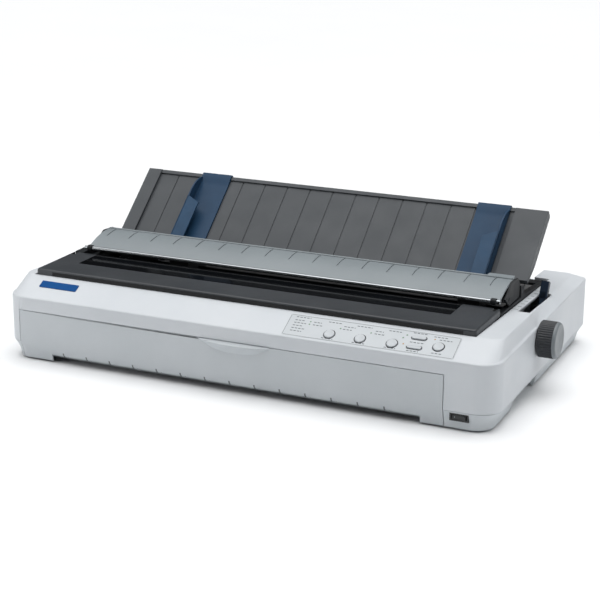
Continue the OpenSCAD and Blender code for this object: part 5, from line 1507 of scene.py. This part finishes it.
@dataclass
class Mechanism:
    """What lies under the cover and inside the case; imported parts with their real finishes."""

    plain: dict[Finish, tuple[str, ...]] = field(default_factory=lambda: {
        STEEL_GROUND: ("platen_shaft", "carriage_shaft"),
        STEEL_BLACKED: ("tractor_drive", "tractor_rod", "side_frame_left", "side_frame_right"),
        STEEL_NICKEL: ("feed_motor", "carriage_motor", "rear_ports"),
        STEEL_ZINC: ("carriage_rail", "power_supply", "slot_cover"),
        BRASS_TURNED: ("feed_pinion", "motor_pulley", "belt_idler"),
        ALUMINIUM_CAST: ("print_head",),
        RUBBER_GROUND: ("platen_roller", "pinch_rollers"),
        BELT_URETHANE: ("timing_belt",),
        GEAR_BLACK: ("platen_gear", "idler_gear"),
        GEAR_ACETAL: ("frame_bushes", "sprocket_left", "sprocket_right"),
        STYRENE_BLACK: ("tractor_left", "tractor_right", "tractor_lid_left", "tractor_lid_right", "carriage",
                        "ribbon_cartridge", "paper_chute"),
        KNOB_ABS: ("ribbon_knob",),
        BOARD_EPOXY: ("main_board",),
        NYLON_BLACK: ("ac_inlet",)})

    def build(self) -> None:
        """Softens the frame round the opening and dresses the rest."""
        soften("top_frame", "opening_frame", FRAME_ABS, "printer", "frame_plastic", 0.4)
        for finish, nodes in self.plain.items():
            for node in nodes:
                dress(node, finish)


# ---------------------------------------------------------------------------
# Studio
# ---------------------------------------------------------------------------


@dataclass(frozen=True)
class SoftBox:
    """One square or oblong lamp with a white cloth front, in metres and watts."""

    name: str
    place: Triple
    aim: Triple
    size: Pair
    power: float

    def hang(self) -> None:
        """Hangs the lamp so that it faces its aim."""
        data = bpy.data.lights.new(self.name, "AREA")
        data.shape, data.size, data.size_y = "RECTANGLE", *self.size
        data.energy = self.power
        made = bpy.data.objects.new(self.name, data)
        made.location = self.place
        made.rotation_euler = (Vector(self.aim) - Vector(self.place)).to_track_quat("-Z", "Y").to_euler()
        bpy.context.scene.collection.objects.link(made)


@dataclass
class Studio:
    """Floor, soft lights and the camera, in metres and degrees; the lens and its sensor are in millimetres."""

    eye: Triple = (0.7307, -1.63775, 0.6195)
    azimuth: float = 24.368
    elevation: float = 17.277
    roll: float = 0.306
    lens: float = 96.01
    sensor: float = 36.0
    clip: Pair = (0.05, 30.0)
    floor_half: float = 12.0
    # Strength of the air's white light: below the walls, where the walls end (as height), and overhead.
    front_low: float = 0.0
    rear_low: float = 0.02
    front_wall: float = 0.66
    rear_wall: float = 0.6
    zenith: float = 3.5
    boxes: tuple[SoftBox, ...] = (
        SoftBox("soft_box_right", (1.9, 0.7, 0.9), (0.1, 0, 0.05), (1.2, 1.2), 5.2),
        SoftBox("soft_box_left", (-0.9, -0.7, 0.35), (-0.2, -0.1, 0.05), (0.5, 0.4), 1.6),
        SoftBox("soft_box_top", (0.6, 0.1, 2.2), (0, 0.05, 0.05), (1.6, 1.2), 1.5))

    def camera(self) -> None:
        """Places the camera."""
        a, e, r = (math.radians(v) for v in (self.azimuth, self.elevation, self.roll))
        back = Vector((math.sin(a) * math.cos(e), -math.cos(a) * math.cos(e), math.sin(e)))
        right = (-back).cross(Vector((0, 0, 1))).normalized()
        up = right.cross(-back)
        x = math.cos(r) * right + math.sin(r) * up
        y = -math.sin(r) * right + math.cos(r) * up
        data = bpy.data.cameras.new("camera")
        data.lens, data.sensor_width, data.sensor_fit = self.lens, self.sensor, "HORIZONTAL"
        data.clip_start, data.clip_end = self.clip
        made = bpy.data.objects.new("camera", data)
        made.matrix_world = Matrix((x, y, back)).transposed().to_4x4()
        made.location = self.eye
        bpy.context.scene.collection.objects.link(made)
        bpy.context.scene.camera = made

    def floor(self) -> None:
        """Lays a pale sweep under the printer."""
        data = bpy.data.meshes.new("studio_floor")
        mesh = bmesh.new()
        bmesh.ops.create_grid(mesh, x_segments=4, y_segments=4, size=self.floor_half)
        mesh.to_mesh(data)
        mesh.free()
        made = bpy.data.objects.new("studio_floor", data)
        bpy.context.scene.collection.objects.link(made)
        data.materials.append(PAPER_SWEEP.material())

    def air(self) -> None:
        """Fills the studio with white light from above, over a dark wall behind and a dim room in front.

        The light's strength rises with height, from where a wall ends up to the zenith; y carries
        the change from the room in front to the wall behind.
        """
        world = bpy.data.worlds.new("studio_air")
        world.use_nodes = True
        tree = world.node_tree
        back = tree.nodes["Background"]
        back.inputs["Color"].default_value = linear("#FFFFFF")
        way = add_node(tree, "ShaderNodeTexCoord").outputs["Generated"]
        axes = add_node(tree, "ShaderNodeSeparateXYZ", links={"Vector": way}).outputs
        low = add_node(tree, "ShaderNodeMapRange", {"From Min": -0.35, "From Max": 0.35, "To Min": self.front_low,
                                                    "To Max": self.rear_low}, {"Value": axes["Y"]})
        foot = add_node(tree, "ShaderNodeMapRange", {"From Min": -0.2, "From Max": 0.6, "To Min": self.front_wall,
                                                     "To Max": self.rear_wall}, {"Value": axes["Y"]})
        glow = add_node(tree, "ShaderNodeMapRange", {"To Max": self.zenith},
                        {"Value": axes["Z"], "From Min": foot.outputs["Result"], "To Min": low.outputs["Result"]})
        tree.links.new(glow.outputs["Result"], back.inputs["Strength"])
        bpy.context.scene.world = world
        bpy.context.scene.view_settings.view_transform = "Standard"

    def build(self) -> None:
        """Sets up the studio."""
        self.floor()
        self.air()
        for box in self.boxes:
            box.hang()
        self.camera()


def main() -> None:
    """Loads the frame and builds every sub-assembly in order."""
    logging.basicConfig(level=logging.INFO, format="%(name)s: %(message)s")
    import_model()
    for part in (CaseShell(), FrontDoor(), ControlPanel(), PowerSwitch(), PrinterCover(), TensionUnit(), PaperGuide(),
                 Controls(), Mechanism(), Studio()):
        part.build()
        LOG.info("built %s", type(part).__name__)


if __name__ == "__main__":
    main()
